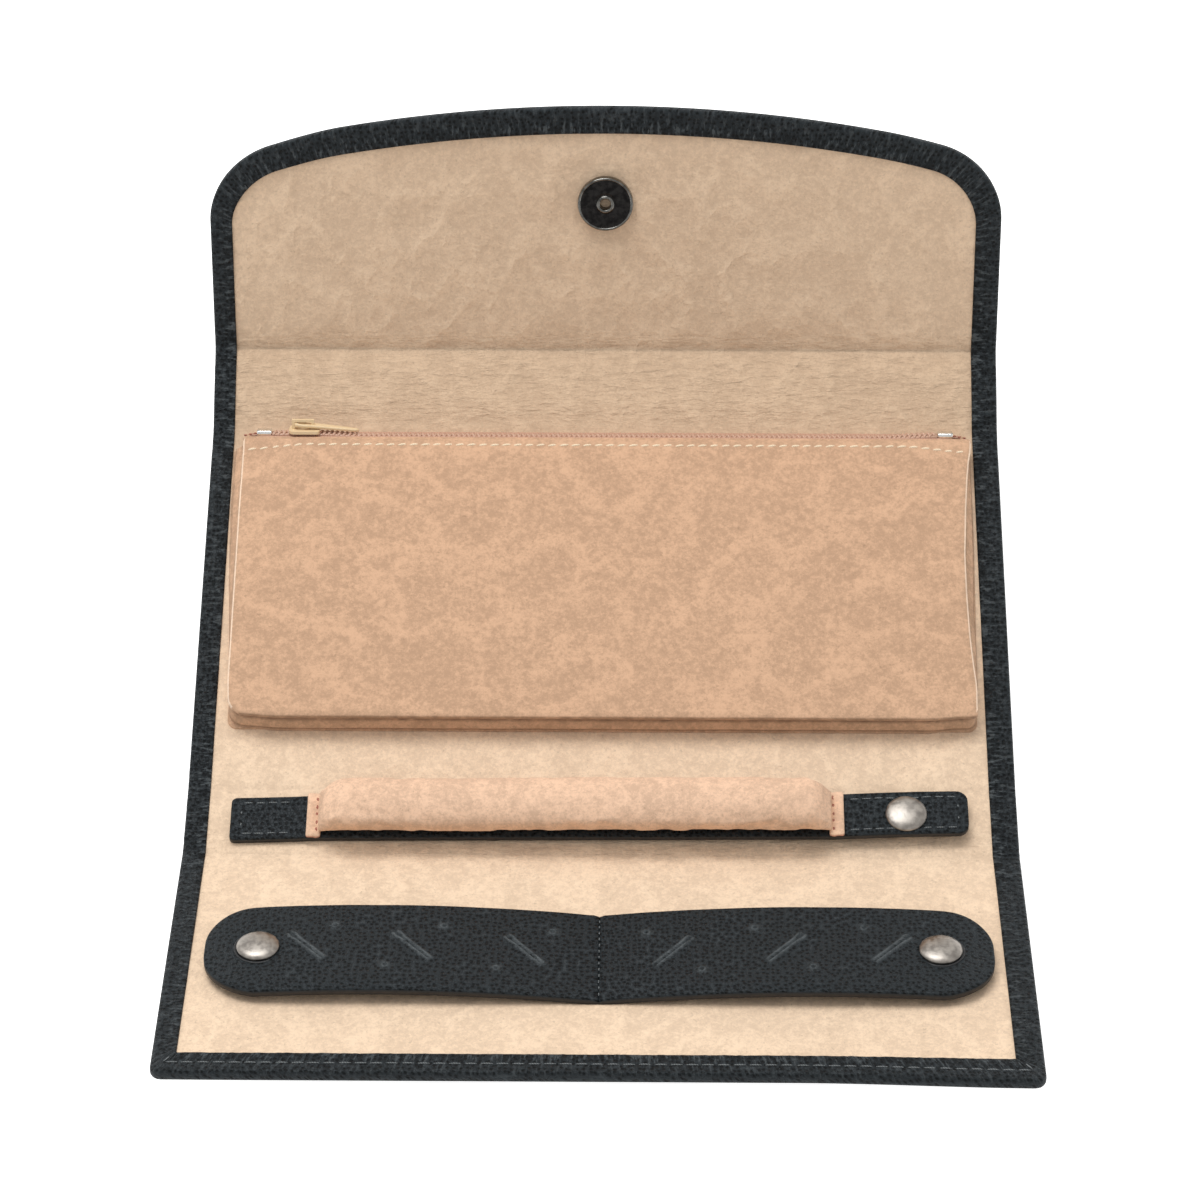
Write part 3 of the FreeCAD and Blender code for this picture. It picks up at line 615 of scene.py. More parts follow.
def plate(loop, holes, spacing, top, thickness, soften, rim_slot=0, marks=()):
    """A sheet cut to loop, with holes. top(x, y) is its upper face; its edges are rounded by soften.

    Returns points, faces and each face's slot: 0 for the top, 1 for the cut edge and 2 for the back."""
    crown = inset(loop, soften)
    rims = [inset(h, -soften) for h in holes]
    co2, faces = filled([loop, crown], holes + rims, spacing, marks=marks)
    n = len(loop)
    edge_count = [n] + [len(h) for h in holes]
    starts, at = [0], 2 * n
    for h in holes:
        starts.append(at)
        at += len(h)
    z = top(co2)
    drop = np.zeros(len(co2))
    for s, c in zip(starts, edge_count):
        drop[s:s + c] = soften * 0.8
    rim_at = at
    for r in rims:
        drop[rim_at:rim_at + len(r)] = -0.03
        rim_at += len(r)
    upper = np.column_stack([co2, z - drop])
    low = np.zeros(len(co2))
    for s, c in zip(starts, edge_count):
        low[s:s + c] = soften * 0.5
    lower = np.column_stack([co2, z - thickness + low])
    total = len(co2)
    middles = co2[np.array(faces)].mean(1)
    slots = np.where(inside(middles, crown), 0, rim_slot).tolist()
    back = [tuple(total + i for i in f[::-1]) for f in faces]
    slots += [2] * len(back)
    walls = []
    for k, (s, c) in enumerate(zip(starts, edge_count)):
        for i in range(c):
            a, b = s + i, s + (i + 1) % c
            walls.append((a + total, b + total, b, a) if k == 0 else (b + total, a + total, a, b))
    slots += [1] * len(walls)
    return np.concatenate([upper, lower]), faces + back + walls, slots


def lathe(profile, x, y, segments=56):
    """Points and faces of a turned shape: (radius, z) pairs from the axis at the bottom or outside."""
    angles = np.linspace(0, 2 * math.pi, segments, endpoint=False)
    co = [(x + r * math.cos(a), y + r * math.sin(a), z) for r, z in profile for a in angles]
    return np.array(co), flipped(quads(len(profile), segments, True))[::-1]


def capsule(start, end, radius, lift, sides=8, rings=7):
    """A stitch: a run of thread that rises in the middle and dips in at both ends."""
    start, end = np.array(start, float), np.array(end, float)
    along = (end - start) / np.linalg.norm(end - start)
    across = np.cross((0, 0, 1), along)
    co = []
    for i in range(rings):
        t = i / (rings - 1)
        swell = math.sin(math.pi * min(max(t, 0.06), 0.94)) ** 0.45
        centre = start + (end - start) * t + np.array((0, 0, lift * swell - radius * 0.9))
        for k in range(sides):
            a = 2 * math.pi * k / sides
            co.append(centre + radius * swell * (across * math.cos(a) * 1.15 + np.array((0, 0, math.sin(a)))))
    return co, flipped(tube_faces(rings, sides))


# each seam's pitch, and its stitches' length and radius
EDGE_STITCH = (3.5, 2.7, 0.17)
CORNER_STITCH = (3.0, 2.6, 0.17)
POCKET_STITCH = (2.9, 2.2, 0.29)
BAR_STITCH = (2.9, 2.55, 0.15)
BAR_END_STITCH = (3.2, 0.9, 0.17)
PAD_STITCH = (2.0, 1.60, 0.31)
STRAP_STITCH = (2.1, 0.95, 0.15)


def stitch_line(points, stitch, top, slant=0.0):
    """Stitches along a polyline of (x, y); top gives the surface's height; slant turns each one."""
    pitch, length, radius = stitch
    points = np.array(points, float)
    steps = np.concatenate([[0], np.cumsum(np.linalg.norm(np.diff(points, axis=0), axis=1))])
    count = int(round(steps[-1] / pitch))
    parts = []
    for i in range(count):
        middle = (i + 0.5) * steps[-1] / count
        ends = []
        for s in (-1, 1):
            at = middle + s * length / 2
            p = np.array([np.interp(at, steps, points[:, 0]), np.interp(at, steps, points[:, 1])])
            ends.append(p)
        way = (ends[1] - ends[0]) / np.linalg.norm(ends[1] - ends[0])
        side = np.array([-way[1], way[0]]) * slant
        wander = rng.uniform(-0.04, 0.04, 2)
        a, b = ends[0] - side + wander, ends[1] + side + wander
        za, zb = top(np.array([a, b]))
        parts.append(capsule((*a, za), (*b, zb), radius, radius * 0.75))
    return parts


# ---- the wallet's outline ----
shell_high = layout_box("flap_leather")[1]
HALF = shell_high[0]
FLAP_TIP = shell_high[1]
FRONT_EDGE = layout_box("front_panel_leather")[0][1]
LINING_TOP = layout_box("back_panel_lining")[1][2]
SIDE_BORDER = 5.95
BORDER_SHIFT = 0.45       # the turned edge is wider on the right
END_BORDER = 6.8
FRONT_CORNER = 2.5
FLAP_ARC = 385.0
FLAP_CORNER = 20.0
FLAP_INNER_CORNER = 15.0
MID_LOWER = (LOWER_FOLD + FRONT_FOLD) / 2
MID_UPPER = (UPPER_FOLD + FLAP_FOLD) / 2
MID_BACK = 0.0
CUTS = (MID_LOWER, MID_BACK, MID_UPPER)
FOLD_ZONE = 9.0


def side_stations():
    """Heights along the straight sides: close together near the folds, with one on each cut."""
    y0, y1 = FRONT_EDGE + 12, FLAP_FOLD + 26
    out = [y0]
    while out[-1] < y1 - 0.4:
        near = min(abs(out[-1] - line) for line, _, _ in FOLDS.values())
        step = 0.55 if near < FOLD_ZONE else 1.3
        nxt = out[-1] + step
        for cut in CUTS:
            if out[-1] < cut - 1e-6 and nxt > cut - step * 0.4:
                nxt = cut
        out.append(nxt)
    out[-1] = y1
    return np.array(out)


STATIONS = side_stations()


def outline(half, front, tip, front_corner, flap_corner):
    """The closed outline, anticlockwise from the middle of the front edge, with fixed counts per stretch."""
    arc_y = tip - FLAP_ARC
    cx = half - flap_corner
    cy = arc_y + math.sqrt((FLAP_ARC - flap_corner) ** 2 - cx ** 2)
    reach = FLAP_ARC / (FLAP_ARC - flap_corner)
    join_x = cx * reach
    join_angle = math.atan2(arc_y + (cy - arc_y) * reach - cy, join_x - cx)
    right = [(x, front) for x in np.linspace(0, half - front_corner, 110)[:-1]]
    for a in np.linspace(-math.pi / 2, 0, 6):
        right.append((half - front_corner + front_corner * math.cos(a),
                      front + front_corner + front_corner * math.sin(a)))
    right += [(half, y) for y in np.linspace(front + front_corner, STATIONS[0], 12)[1:-1]]
    right += [(half, y) for y in STATIONS]
    right += [(half, y) for y in np.linspace(STATIONS[-1], cy, 10)[1:-1]]
    for a in np.linspace(0, join_angle, 26):
        right.append((cx + flap_corner * math.cos(a), cy + flap_corner * math.sin(a)))
    for x in np.linspace(join_x, 0, 80)[1:-1]:
        right.append((x, arc_y + math.sqrt(FLAP_ARC ** 2 - x ** 2)))
    right = np.array(right)
    left = right[1:][::-1] * (-1, 1)
    return np.concatenate([right, [(0, tip)], left])


OUTER = outline(HALF, FRONT_EDGE, FLAP_TIP, FRONT_CORNER, FLAP_CORNER)
INNER = outline(HALF - SIDE_BORDER, FRONT_EDGE + END_BORDER, FLAP_TIP - END_BORDER, 0.35, FLAP_INNER_CORNER)
INNER[:, 0] -= BORDER_SHIFT * np.clip(np.abs(INNER[:, 0]) / (HALF - SIDE_BORDER), 0, 1) ** 4


def trimmed(co):
    """The cut's small faults: a rounder left corner on the flap and a longer right one in front."""
    co = np.array(co, float)
    x, y = co[:, 0].copy(), co[:, 1].copy()
    high = smooth((y - FLAP_FOLD - 24) / 20)
    co[:, 1] -= high * (1.9 * smooth((-x - 66) / 30) + 0.9 * smooth((x - 70) / 28))
    co[:, 1] -= 1.4 * smooth((x - 45) / 55) * (1 - smooth((y - FRONT_EDGE) / 14))
    return co


OUTER, INNER = trimmed(OUTER), trimmed(INNER)


def ring(share):
    """The outline moved in from the edge by a share of the border's width."""
    return OUTER + (INNER - OUTER) * share


def fold_nearness(y, reach):
    """1 on a fold line, falling to 0 at reach."""
    near = np.min([np.abs(y - line) for line, _, _ in FOLDS.values()], axis=0)
    return 1 - smooth(near / reach)


def split(name_parts, co, faces, materials, marks=None):
    """One mesh cut at CUTS into a piece for each fold."""
    centre = np.array([co[list(f), 1].mean() for f in faces])
    pieces = []
    bounds = (-1e9, *CUTS, 1e9)
    for name, low, high in zip(name_parts, bounds[:-1], bounds[1:]):
        chosen = [f for f, y in zip(faces, centre) if low < y < high]
        used = np.unique([i for f in chosen for i in f])
        index = np.full(len(co), -1)
        index[used] = np.arange(len(used))
        own = [tuple(int(index[i]) for i in f) for f in chosen]
        own_marks = {key: values[used] for key, values in (marks or {}).items()}
        pieces.append(add_mesh(name, co[used], own, materials[name], bent, None, own_marks))
        sharpen_border(pieces[-1])
    return pieces


BLENDS = (("lower_spine", "front_panel", FRONT_FOLD, -1), ("back_panel", "lower_spine", LOWER_FOLD, -1),
          ("back_panel", "upper_spine", UPPER_FOLD, 1), ("upper_spine", "flap", FLAP_FOLD, 1))


def fold_point(y):
    """A point beside a fold line at rest, on the level of the hinges."""
    return bent(np.array([[0.0, y, PANEL_TOP]]))[0]


def blend_over_fold(pieces):
    for obj, (a, b, line, side) in zip(pieces, BLENDS):
        fold_point(line - side * BLEND_REACH)
        fold_point(line + side * BLEND_REACH)
        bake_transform(obj)


# the drawn sheets' thicknesses, in millimetres
LEATHER_THICKNESS = 0.55
LINING_THICKNESS = 0.4
GUSSET_THICKNESS = 0.5
TAPE_THICKNESS = 0.35


def thickened(obj, thickness):
    """Gives a sheet its thickness, below its drawn face."""
    solid = obj.modifiers.new("thickness", "SOLIDIFY")
    solid.thickness = thickness * MM
    solid.offset = -1.0
    solid.use_even_offset = False


# ---- leather shell: border, rounded edge and outside ----
EDGE_PROFILE = (
    # share of the border's width, height
    (1.000, 2.15), (1.000, 2.62), (0.985, 2.88), (0.950, 3.00), (0.86, 3.05), (0.70, 3.06), (0.52, 3.03),
    (0.36, 3.05), (0.22, 3.07), (0.12, 3.02), (0.055, 2.88), (0.015, 2.62), (-0.008, 2.2), (-0.015, 1.6),
    (-0.008, 1.0), (0.015, 0.55), (0.07, 0.22), (0.16, 0.06), (0.32, 0.0), (0.62, 0.0), (1.0, 0.0))
STITCH_SHARE = 0.5
OUTSIDE_SPACING = 3.2
CRINKLE_HEIGHT = 0.26
GROOVE_DEPTH = 0.14       # of the channel along the middle of the border
GROOVE_WIDTH = 0.55
PLEAT_SIZE = 1.05
PLEAT_HEIGHT = 0.16
FOLD_ROWS = np.linspace(-4.0, 4.0, 11)      # rows of points beside each fold, so that it bends smoothly


def crinkle(co, amount):
    """Cross wrinkles in the border where it is folded, and a little unevenness everywhere."""
    y = co[:, 1]
    stretched = co * (0.30, 1.0, 1.0)
    ridges = 0.7 * noise_at(stretched, 1.15, 3.0) + 0.5 * noise_at(stretched, 2.3, 8.0)
    near = fold_nearness(y, FOLD_ZONE + 4)
    return amount * near * ridges + 0.05 * noise_at(co, 9.0, 5.0)


def across_line(y, reach, count):
    """A line of points straight across the wallet."""
    return np.array([(x, y) for x in np.linspace(-reach, reach, count)])


def crossing(base, cut):
    """A closed outline's own two points on a cut, left and right."""
    ends = base[np.abs(base[:, 1] - cut) < 1e-6]
    return ends[ends[:, 0] < 0][0], ends[ends[:, 0] > 0][0]


def make_shell():
    n = len(OUTER)
    co = np.concatenate([np.column_stack([ring(share), np.full(n, z)]) for share, z in EDGE_PROFILE])
    share = np.repeat([p[0] for p in EDGE_PROFILE], n)
    height = co[:, 2]
    groove = bell((share - STITCH_SHARE) * SIDE_BORDER, GROOVE_WIDTH) * (height > 2.9)
    run = np.concatenate([[0], np.cumsum(np.linalg.norm(np.diff(OUTER, axis=0), axis=1))])
    pleats = np.array([noise.noise(Vector((r / PLEAT_SIZE, k * 1.3, 4.0))) for k, _ in EDGE_PROFILE for r in run])
    pleated = smooth((share - 0.35) / 0.35) * (height > 2.7)
    co[:, 2] += (height > 2.4) * crinkle(co, CRINKLE_HEIGHT) - GROOVE_DEPTH * groove + PLEAT_HEIGHT * pleated * pleats
    out = crinkle(co, 1.0)
    ends = (height > 0.4) * (height < 2.4) * (np.abs(co[:, 0]) > HALF - 0.3)
    co[:, 0] += np.sign(co[:, 0]) * ends * out * 0.10
    border = flipped(quads(len(EDGE_PROFILE), n, True))
    base = ring(EDGE_PROFILE[-1][0])
    cut_lines = []
    reach = HALF - SIDE_BORDER
    for cut in CUTS:
        left, right = crossing(base, cut)
        between = across_line(cut, reach, int(2 * reach / OUTSIDE_SPACING))[1:-1]
        cut_lines.append(np.array([left, *between, right]))
    cut_lines += [across_line(line + off, reach - 1.0, 100) for line, _, _ in FOLDS.values() for off in FOLD_ROWS]
    under, faces = filled([base], [], OUTSIDE_SPACING, cut_lines)
    under = np.column_stack([under, np.zeros(len(under))])
    inner = inside(under[:, :2], inset(base, 1.5))
    near = fold_nearness(under[:, 1], FOLD_ZONE)
    under[inner, 2] += (0.09 * near * noise_at(under * (0.2, 1, 1), 1.6, 2.0))[inner]
    whole, all_faces = joined([(co, border), (under, flipped(faces))])
    rings_run = np.tile(np.minimum(run, run[-1] - run), len(EDGE_PROFILE))
    # how strongly the border's pleats show, in their bumps and in their painted shade and highlights
    amount = (height > 2.2) * (0.45 + 0.55 * smooth((share - 0.30) / 0.35))
    amount *= 0.75 + 0.25 * fold_nearness(co[:, 1], 2.5 * FOLD_ZONE)
    flat_marks = {"along": rings_run * MM, "across": share * SIDE_BORDER * MM, "pleated": amount}
    marks = {key: np.concatenate([values, np.zeros(len(under))]) for key, values in flat_marks.items()}
    whole, all_faces, kept = welded(whole, all_faces)
    marks = {key: values[kept] for key, values in marks.items()}
    names = ("leather_front", "leather_lower", "leather_upper", "leather_flap")
    pieces = split(names, whole, all_faces, {k: [SHELL_LEATHER] for k in names}, marks)
    stood_for = (("front_panel_leather", "lower_spine_leather"), ("back_panel_leather", "lower_spine_leather"),
                 ("back_panel_leather", "upper_spine_leather"), ("flap_leather", "upper_spine_leather"))
    for obj, nodes in zip(pieces, stood_for):
        thickened(obj, LEATHER_THICKNESS)
        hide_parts(*nodes)
    blend_over_fold(pieces)


def welded(co, faces):
    """The same faces with points that lie on each other made one, flat faces left out, and the points kept."""
    keys = np.round(co, 5)
    _, first, index = np.unique(keys, axis=0, return_index=True, return_inverse=True)
    index = index.reshape(-1)
    out = []
    for face in faces:
        ids = [int(index[i]) for i in face]
        ids = [i for k, i in enumerate(ids) if i != ids[k - 1]]
        if len(ids) > 2:
            out.append(tuple(ids))
    return co[first], out, first


# ---- suede lining ----
LINING_SPACING = 1.7
CREASE_DEPTH = 0.55
CREASE_SPACING = 1.2
CREASE_ROWS = (-0.55, 0.0, 0.55)      # rows of points beside each crease


def lining_height(co):
    """Soft crumples, ridges across the upper spine and a crease at each fold that shows."""
    y = co[:, 1]
    z = np.full(len(co), LINING_TOP)
    z += 0.10 * noise_at(co, 13.0, 1.0) + 0.05 * noise_at(co, 5.0, 4.0)
    flap = smooth((y - FLAP_FOLD) / 4)
    z += flap * 0.34 * (crumpled(co, 21.0, 3.0) - 0.5)
    spine = smooth((y - UPPER_FOLD - 1) / 4) * (1 - smooth((y - FLAP_FOLD + 1) / 3))
    z += spine * 0.10 * noise_at(co * (0.12, 1.0, 1.0), 1.5, 6.0)
    lower = smooth((y - FRONT_FOLD + 5) / 4) * (1 - smooth((y - FRONT_FOLD - 5) / 4))
    z += lower * 0.09 * noise_at(co * (0.12, 1.0, 1.0), 1.3, 9.0)
    front = 1 - smooth((y - FRONT_FOLD + 8) / 10)
    z += front * 0.13 * noise_at(co * (1.0, 0.55, 1.0), 15.0, 12.0)
    for line, depth, width in ((FLAP_FOLD, CREASE_DEPTH, 0.55), (FRONT_FOLD, 0.20, 0.5), (LOWER_FOLD, 0.20, 0.5)):
        wander = 0.25 * noise_at(co * (1.0, 0.0, 1.0), 25.0, line)
        z -= depth * np.exp(-(np.abs(y - line - wander) / width) ** 1.3)
    for cut in CUTS:
        z = LINING_TOP + (z - LINING_TOP) * smooth(np.abs(y - cut) / 2.0)
    return z


def crumpled(co, size, seed):
    """Ridged noise, about 0 to 1, like paper that has been crumpled and smoothed."""
    turned = np.stack([co[:, 0] + 0.35 * co[:, 1], co[:, 1] - 0.35 * co[:, 0]], axis=1)
    return np.array([1.0 - abs(noise.noise(Vector((x / size, y / size, seed)))) * 1.6
                     - 0.5 * abs(noise.noise(Vector((x * 2.3 / size, y * 2.3 / size, seed + 5)))) for x, y in turned])


def crease_tint(co):
    """Painted shade in the fold lines that show, darkest at the flap's fold."""
    y = co[:, 1]
    wander = 0.25 * noise_at(co * (1.0, 0.0, 1.0), 25.0, FLAP_FOLD)
    broken = 0.75 + 0.25 * noise_at(co * (1.0, 0.0, 1.0), 9.0, 2.0)
    tint = 0.42 * broken * bell(y - FLAP_FOLD - wander, 0.42)
    for line in (FRONT_FOLD, LOWER_FOLD):
        tint += 0.10 * bell(y - line, 0.5)
    return np.clip(tint, 0, 1)


def make_lining():
    base = ring(0.86)
    lines = []
    for cut in CUTS:
        left, right = crossing(base, cut)
        xs = np.linspace(left[0], right[0], int((right[0] - left[0]) / LINING_SPACING))
        lines.append(np.array([(x, cut) for x in xs]))
    lines += [across_line(line + off, HALF - SIDE_BORDER, int(2 * HALF / CREASE_SPACING))
              for line in (FLAP_FOLD, FRONT_FOLD, LOWER_FOLD) for off in CREASE_ROWS]
    flat, faces = filled([base], [], LINING_SPACING, lines)
    co = np.column_stack([flat, np.zeros(len(flat))])
    co[:, 2] = lining_height(co)
    names = ("lining_front", "lining_lower", "lining_upper", "lining_flap")
    y = co[:, 1]
    # masks for the painted shade over the spine and the flap
    spine = smooth((y - 30) / 22)
    flap = smooth((y - FLAP_FOLD + 2) / 5)
    ridged = smooth((y - 50) / 8) * (1 - smooth((y - FLAP_FOLD - 1) / 5))
    ridged += 0.8 * smooth((y - FRONT_FOLD + 4) / 3) * (1 - smooth((y - FRONT_FOLD - 5) / 4)) + 0.12
    marks = {"tint": crease_tint(co), "painted_panel_shade": 0.37 * spine - 0.16 * flap, "ridged": ridged}
    pieces = split(names, co, faces, {k: [LINING_LOOK] for k in names}, marks)
    stood_for = (("front_panel_lining", "lower_spine_lining"), ("back_panel_lining", "lower_spine_lining"),
                 ("back_panel_lining", "upper_spine_lining"), ("flap_lining", "upper_spine_lining"))
    for obj, nodes in zip(pieces, stood_for):
        thickened(obj, LINING_THICKNESS)
        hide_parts(*nodes)
    blend_over_fold(pieces)


def make_flap_board():
    """The flap's stiffener, cut a little smaller than its leather."""
    low, high = layout_box("flap_board")
    loop = ring(0.30)
    loop[:, 1] = np.clip(loop[:, 1], low[1], high[1])
    apart = np.linalg.norm(loop - np.roll(loop, 1, axis=0), axis=1) > 0.2
    co, faces, slots = plate(resampled(loop[apart], 3.0), [], 5.0, level(high[2]), high[2] - low[2], 0.12)
    obj = riding("flap_stiffener", co, faces, [BOARD] * 3, "flap", slots)
    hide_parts("flap_board")


def make_edge_stitches():
    """The stitch line along the front edge, with a slanting stitch at each mitred corner."""
    y = FRONT_EDGE + END_BORDER * 0.5
    reach = HALF - SIDE_BORDER * 0.5
    top = level(PANEL_TOP - 0.02)
    parts = stitch_line([(-reach, y), (reach, y)], EDGE_STITCH, top)
    for side in (-1, 1):
        corner = (side * (reach + 0.6), y - 0.5)
        parts += stitch_line([corner, (side * (reach - 2.2), y + 2.8)], CORNER_STITCH, top)
    co, faces = joined(parts)
    obj = riding("front_edge_stitches", trimmed(co), faces, [GREY_THREAD], "front_panel")
    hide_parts("front_edge_stitching")


make_shell()
make_lining()
make_flap_board()
make_edge_stitches()

# ---- zipped pocket ----
pocket_low, pocket_high = layout_box("pocket_front")
backing_high = layout_box("pocket_back")[1]
POCKET_HALF = pocket_high[0]
POCKET_TOP = pocket_high[1]
POCKET_BOTTOM = pocket_low[1]
POCKET_ROOF = pocket_high[2]
POCKET_UNDER = pocket_low[2]
POCKET_FLOOR = backing_high[2]
POCKET_PUFF = 0.55        # how far the wall stands up in its middle
POCKET_HEM = 1.6          # how far its turned edge reaches past the CAD wall, towards the zip
SEAM_SINK = 0.22
POCKET_BACK_THICKNESS = 0.5
STITCH_Y = layout_box("pocket_stitching")[0][1] + 0.25
# places up the pocket, and how far its front wall's right edge stands out there
RIGHT_EDGE = ((-33.0, -22.0, -12.0, 0.0, 11.5, 25.0, 35.0, 41.0, 45.0),
              (0.6, -0.5, -1.3, -1.9, -2.2, -1.8, -1.2, -0.6, 0.1))


def pocket_shape(co):
    """Pulls the pocket out of true, as it hangs between its gusset and its zip."""
    co = np.array(co, float)
    x, y, z = co.T.copy()
    share = smooth((z - POCKET_FLOOR) / (POCKET_UNDER - POCKET_FLOOR))
    end = smooth((np.abs(x) - 74) / 17)
    top = end * smooth((y - 22) / 22)
    low = smooth((np.abs(x) - 78) / 13) * (1 - smooth((y - POCKET_BOTTOM) / 11))
    right = (x > 0)
    drawn_in = 1.1 * smooth((y + 25) / 65) + np.interp(y, *RIGHT_EDGE)
    co[:, 0] += share * (right * smooth((x - 50) / 40) * drawn_in - np.sign(x) * np.where(right, 0.9, 0.5) * low)
    edge = 1 - smooth((y - STITCH_Y - 0.2) / 1.6)
    co[:, 1] += share * (-0.9 * top * edge + 0.3 * end * (1 - edge) + 1.0 * low)
    co[:, 2] += share * (-1.1 * top * (0.35 + 0.65 * edge) - 0.5 * low)
    puff = np.sin(np.pi * np.clip((y - POCKET_BOTTOM) / (POCKET_TOP - POCKET_BOTTOM), 0, 1)) ** 0.8
    puff *= np.clip(np.cos(np.pi * x / (2 * POCKET_HALF)), 0, 1) ** 0.4
    co[:, 2] += share * puff * (POCKET_PUFF + 0.30 * noise_at(co, 34.0, 8.0) + 0.07 * noise_at(co, 9.0, 2.0))
    return co


def pocket_top(p):
    """The pocket's outer face, with its sewn channel and the turned edge beside the zip."""
    z = np.full(len(p), POCKET_ROOF)
    y = p[:, 1]
    z -= SEAM_SINK * bell(y - STITCH_Y, 0.5)
    z -= 1.5 * smooth((y - POCKET_TOP + 0.9) / 2.7)
    return z + 0.03 * noise_at(p, 4.0, 1.0)


def make_pocket():
    loop = resampled(rounded_loop(-POCKET_HALF, POCKET_HALF, POCKET_BOTTOM, POCKET_TOP + POCKET_HEM,
                                  (4.2, 1.0, 0.8, 0.8), 7), 1.3)
    co, faces, slots = plate(loop, [], 1.7, pocket_top, POCKET_ROOF - POCKET_UNDER, 0.38, 1)
    middle = [co[list(f), 1].mean() for f in faces]
    # the bottom and top edges keep the wall's own suede, so the lighter edge suede, wear and painted highlight, shows
    # only on the sides
    slots = [0 if k == 1 and not POCKET_BOTTOM + 1.6 < y < POCKET_TOP else k for k, y in zip(slots, middle)]
    # painted shade along the pocket wall's bottom edge, broken up by noise
    fuzz = 0.7 + 0.6 * noise_at(co, 1.9, 3.0)
    painted_shade = 0.55 * fuzz * bell(co[:, 1] - POCKET_BOTTOM, 0.30) * (co[:, 2] < POCKET_ROOF - 0.2)
    front = riding("pocket_front_suede", pocket_shape(co), faces, [POCKET_LOOK, EDGE_WEAR_AND_HIGHLIGHT, POCKET_LOOK],
                   "back_panel", slots, {"tint": np.clip(painted_shade, 0, 1)})
    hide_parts("pocket_front")
    loop = resampled(rounded_loop(-POCKET_HALF, POCKET_HALF, POCKET_BOTTOM, backing_high[1],
                                  (2.5, 2.5, 0.6, 0.6)), 2.5)
    co, faces, slots = plate(loop, [], 4.0, level(POCKET_FLOOR + 0.03), POCKET_BACK_THICKNESS, 0.15)
    back = riding("pocket_back_suede", co, faces, [POCKET_LOOK] * 3, "back_panel", slots)
    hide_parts("pocket_back")
    seam = [(-POCKET_HALF + 1.0, STITCH_Y), (POCKET_HALF - 1.0, STITCH_Y)]
    parts = stitch_line(seam, POCKET_STITCH, level(POCKET_ROOF - 0.12), 0.16)
    co, faces = joined(parts)
    stitches = riding("pocket_stitches", pocket_shape(co), faces, [CREAM_THREAD], "back_panel")
    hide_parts("pocket_stitching")


# outward from the front wall's edge, height
GUSSET_PROFILE = ((-5.6, 7.80), (-1.7, 7.74), (-1.2, 7.40), (-1.1, 7.05), (-0.55, 6.60), (-0.2, 6.0), (0.05, 5.3),
                  (0.25, 4.7), (0.42, 4.30), (0.50, 4.05), (0.38, 3.86), (0.0, 3.72), (-0.35, 3.52), (-0.40, 3.28),
                  (-0.1, 3.08), (0.3, 2.95), (0.6, 2.86))
GUSSET_SEAM = 6.5         # height of the painted shade in its seam under the wall
GUSSET_FOLD = 3.3         # and of the painted shade in its fold
SIDE_BULGE = (2.2, 0.8)   # how much more it bulges towards the zip, on the left and on the right


def make_gusset():
    loop = resampled(rounded_loop(-POCKET_HALF, POCKET_HALF, POCKET_BOTTOM, POCKET_TOP, (4.4, 2.6, 0, 0), 8), 1.2)
    start = np.argmin(np.linalg.norm(loop - (-POCKET_HALF, POCKET_TOP), axis=1))
    path = np.roll(loop, -start, axis=0)
    end = np.argmin(np.linalg.norm(path - (POCKET_HALF, POCKET_TOP), axis=1))
    path = path[:end + 1]
    ahead = np.gradient(path, axis=0)
    ahead /= np.linalg.norm(ahead, axis=1)[:, None]
    out = np.stack([ahead[:, 1], -ahead[:, 0]], axis=1)
    out[0], out[-1] = (-1, 0), (1, 0)
    co = []
    up = path[:, 1] - POCKET_BOTTOM
    corner = np.hypot(np.abs(path[:, 0]) - POCKET_HALF, up)
    bulge = 0.10 + 0.80 * smooth((corner - 3) / 10)
    bulge += np.where(path[:, 0] < 0, *SIDE_BULGE) * smooth((up - 8) / 60)
    for offset, z in GUSSET_PROFILE:
        line = path + out * (np.where(offset > 0, bulge, 1.0) * offset)[:, None]
        line -= out * (0.4 * (1 - bulge))[:, None]
        wave = noise_at(line, 14.0, z * 0.15)
        ripple = noise_at(line, 3.5, z * 0.3)
        swell = (0.22 * wave + 0.07 * ripple) * bulge * (3.2 < z < 7.3)
        co.append(np.column_stack([line + out * swell[:, None], np.full(len(line), z) + 0.5 * swell]))
    co = np.concatenate(co)
    faces = flipped(quads(len(GUSSET_PROFILE), len(path)))
    # painted shade in the seam under the wall and in the fold, broken up by noise
    fuzz = 0.75 + 0.5 * noise_at(co, 1.7, 6.0)
    painted_shade = bell(co[:, 2] - GUSSET_SEAM, 0.35) + 0.8 * bell(co[:, 2] - GUSSET_FOLD, 0.3)
    gusset = riding("pocket_gusset_suede", pocket_shape(co), faces, [POCKET_LOOK], "back_panel",
                    marks={"tint": np.clip(0.85 * painted_shade * fuzz, 0, 1)})
    thickened(gusset, GUSSET_THICKNESS)
    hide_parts("pocket_gusset")


make_pocket()
make_gusset()

# ---- zip ----
coil_low, coil_high = layout_box("zip_coil_front")
back_coil_low, back_coil_high = layout_box("zip_coil_back")
COIL_HALF = coil_high[0]
ZIP_CENTRE = np.array((0.0, (coil_low[1] + back_coil_high[1]) / 2, (coil_high[2] + back_coil_low[2]) / 2))
pull_axis = np.array(JOINTS["zip_pull_flip"]["axis"])
ZIP_ACROSS = pull_axis / np.linalg.norm(pull_axis)
ZIP_ACROSS = ZIP_ACROSS if ZIP_ACROSS[1] > 0 else -ZIP_ACROSS
ZIP_OUT = np.cross((1.0, 0.0, 0.0), ZIP_ACROSS)
TOOTH_PITCH = 1.27
TURN_SIDES = 7
TURN_LEAN = 0.42          # half of one turn's run along the zip
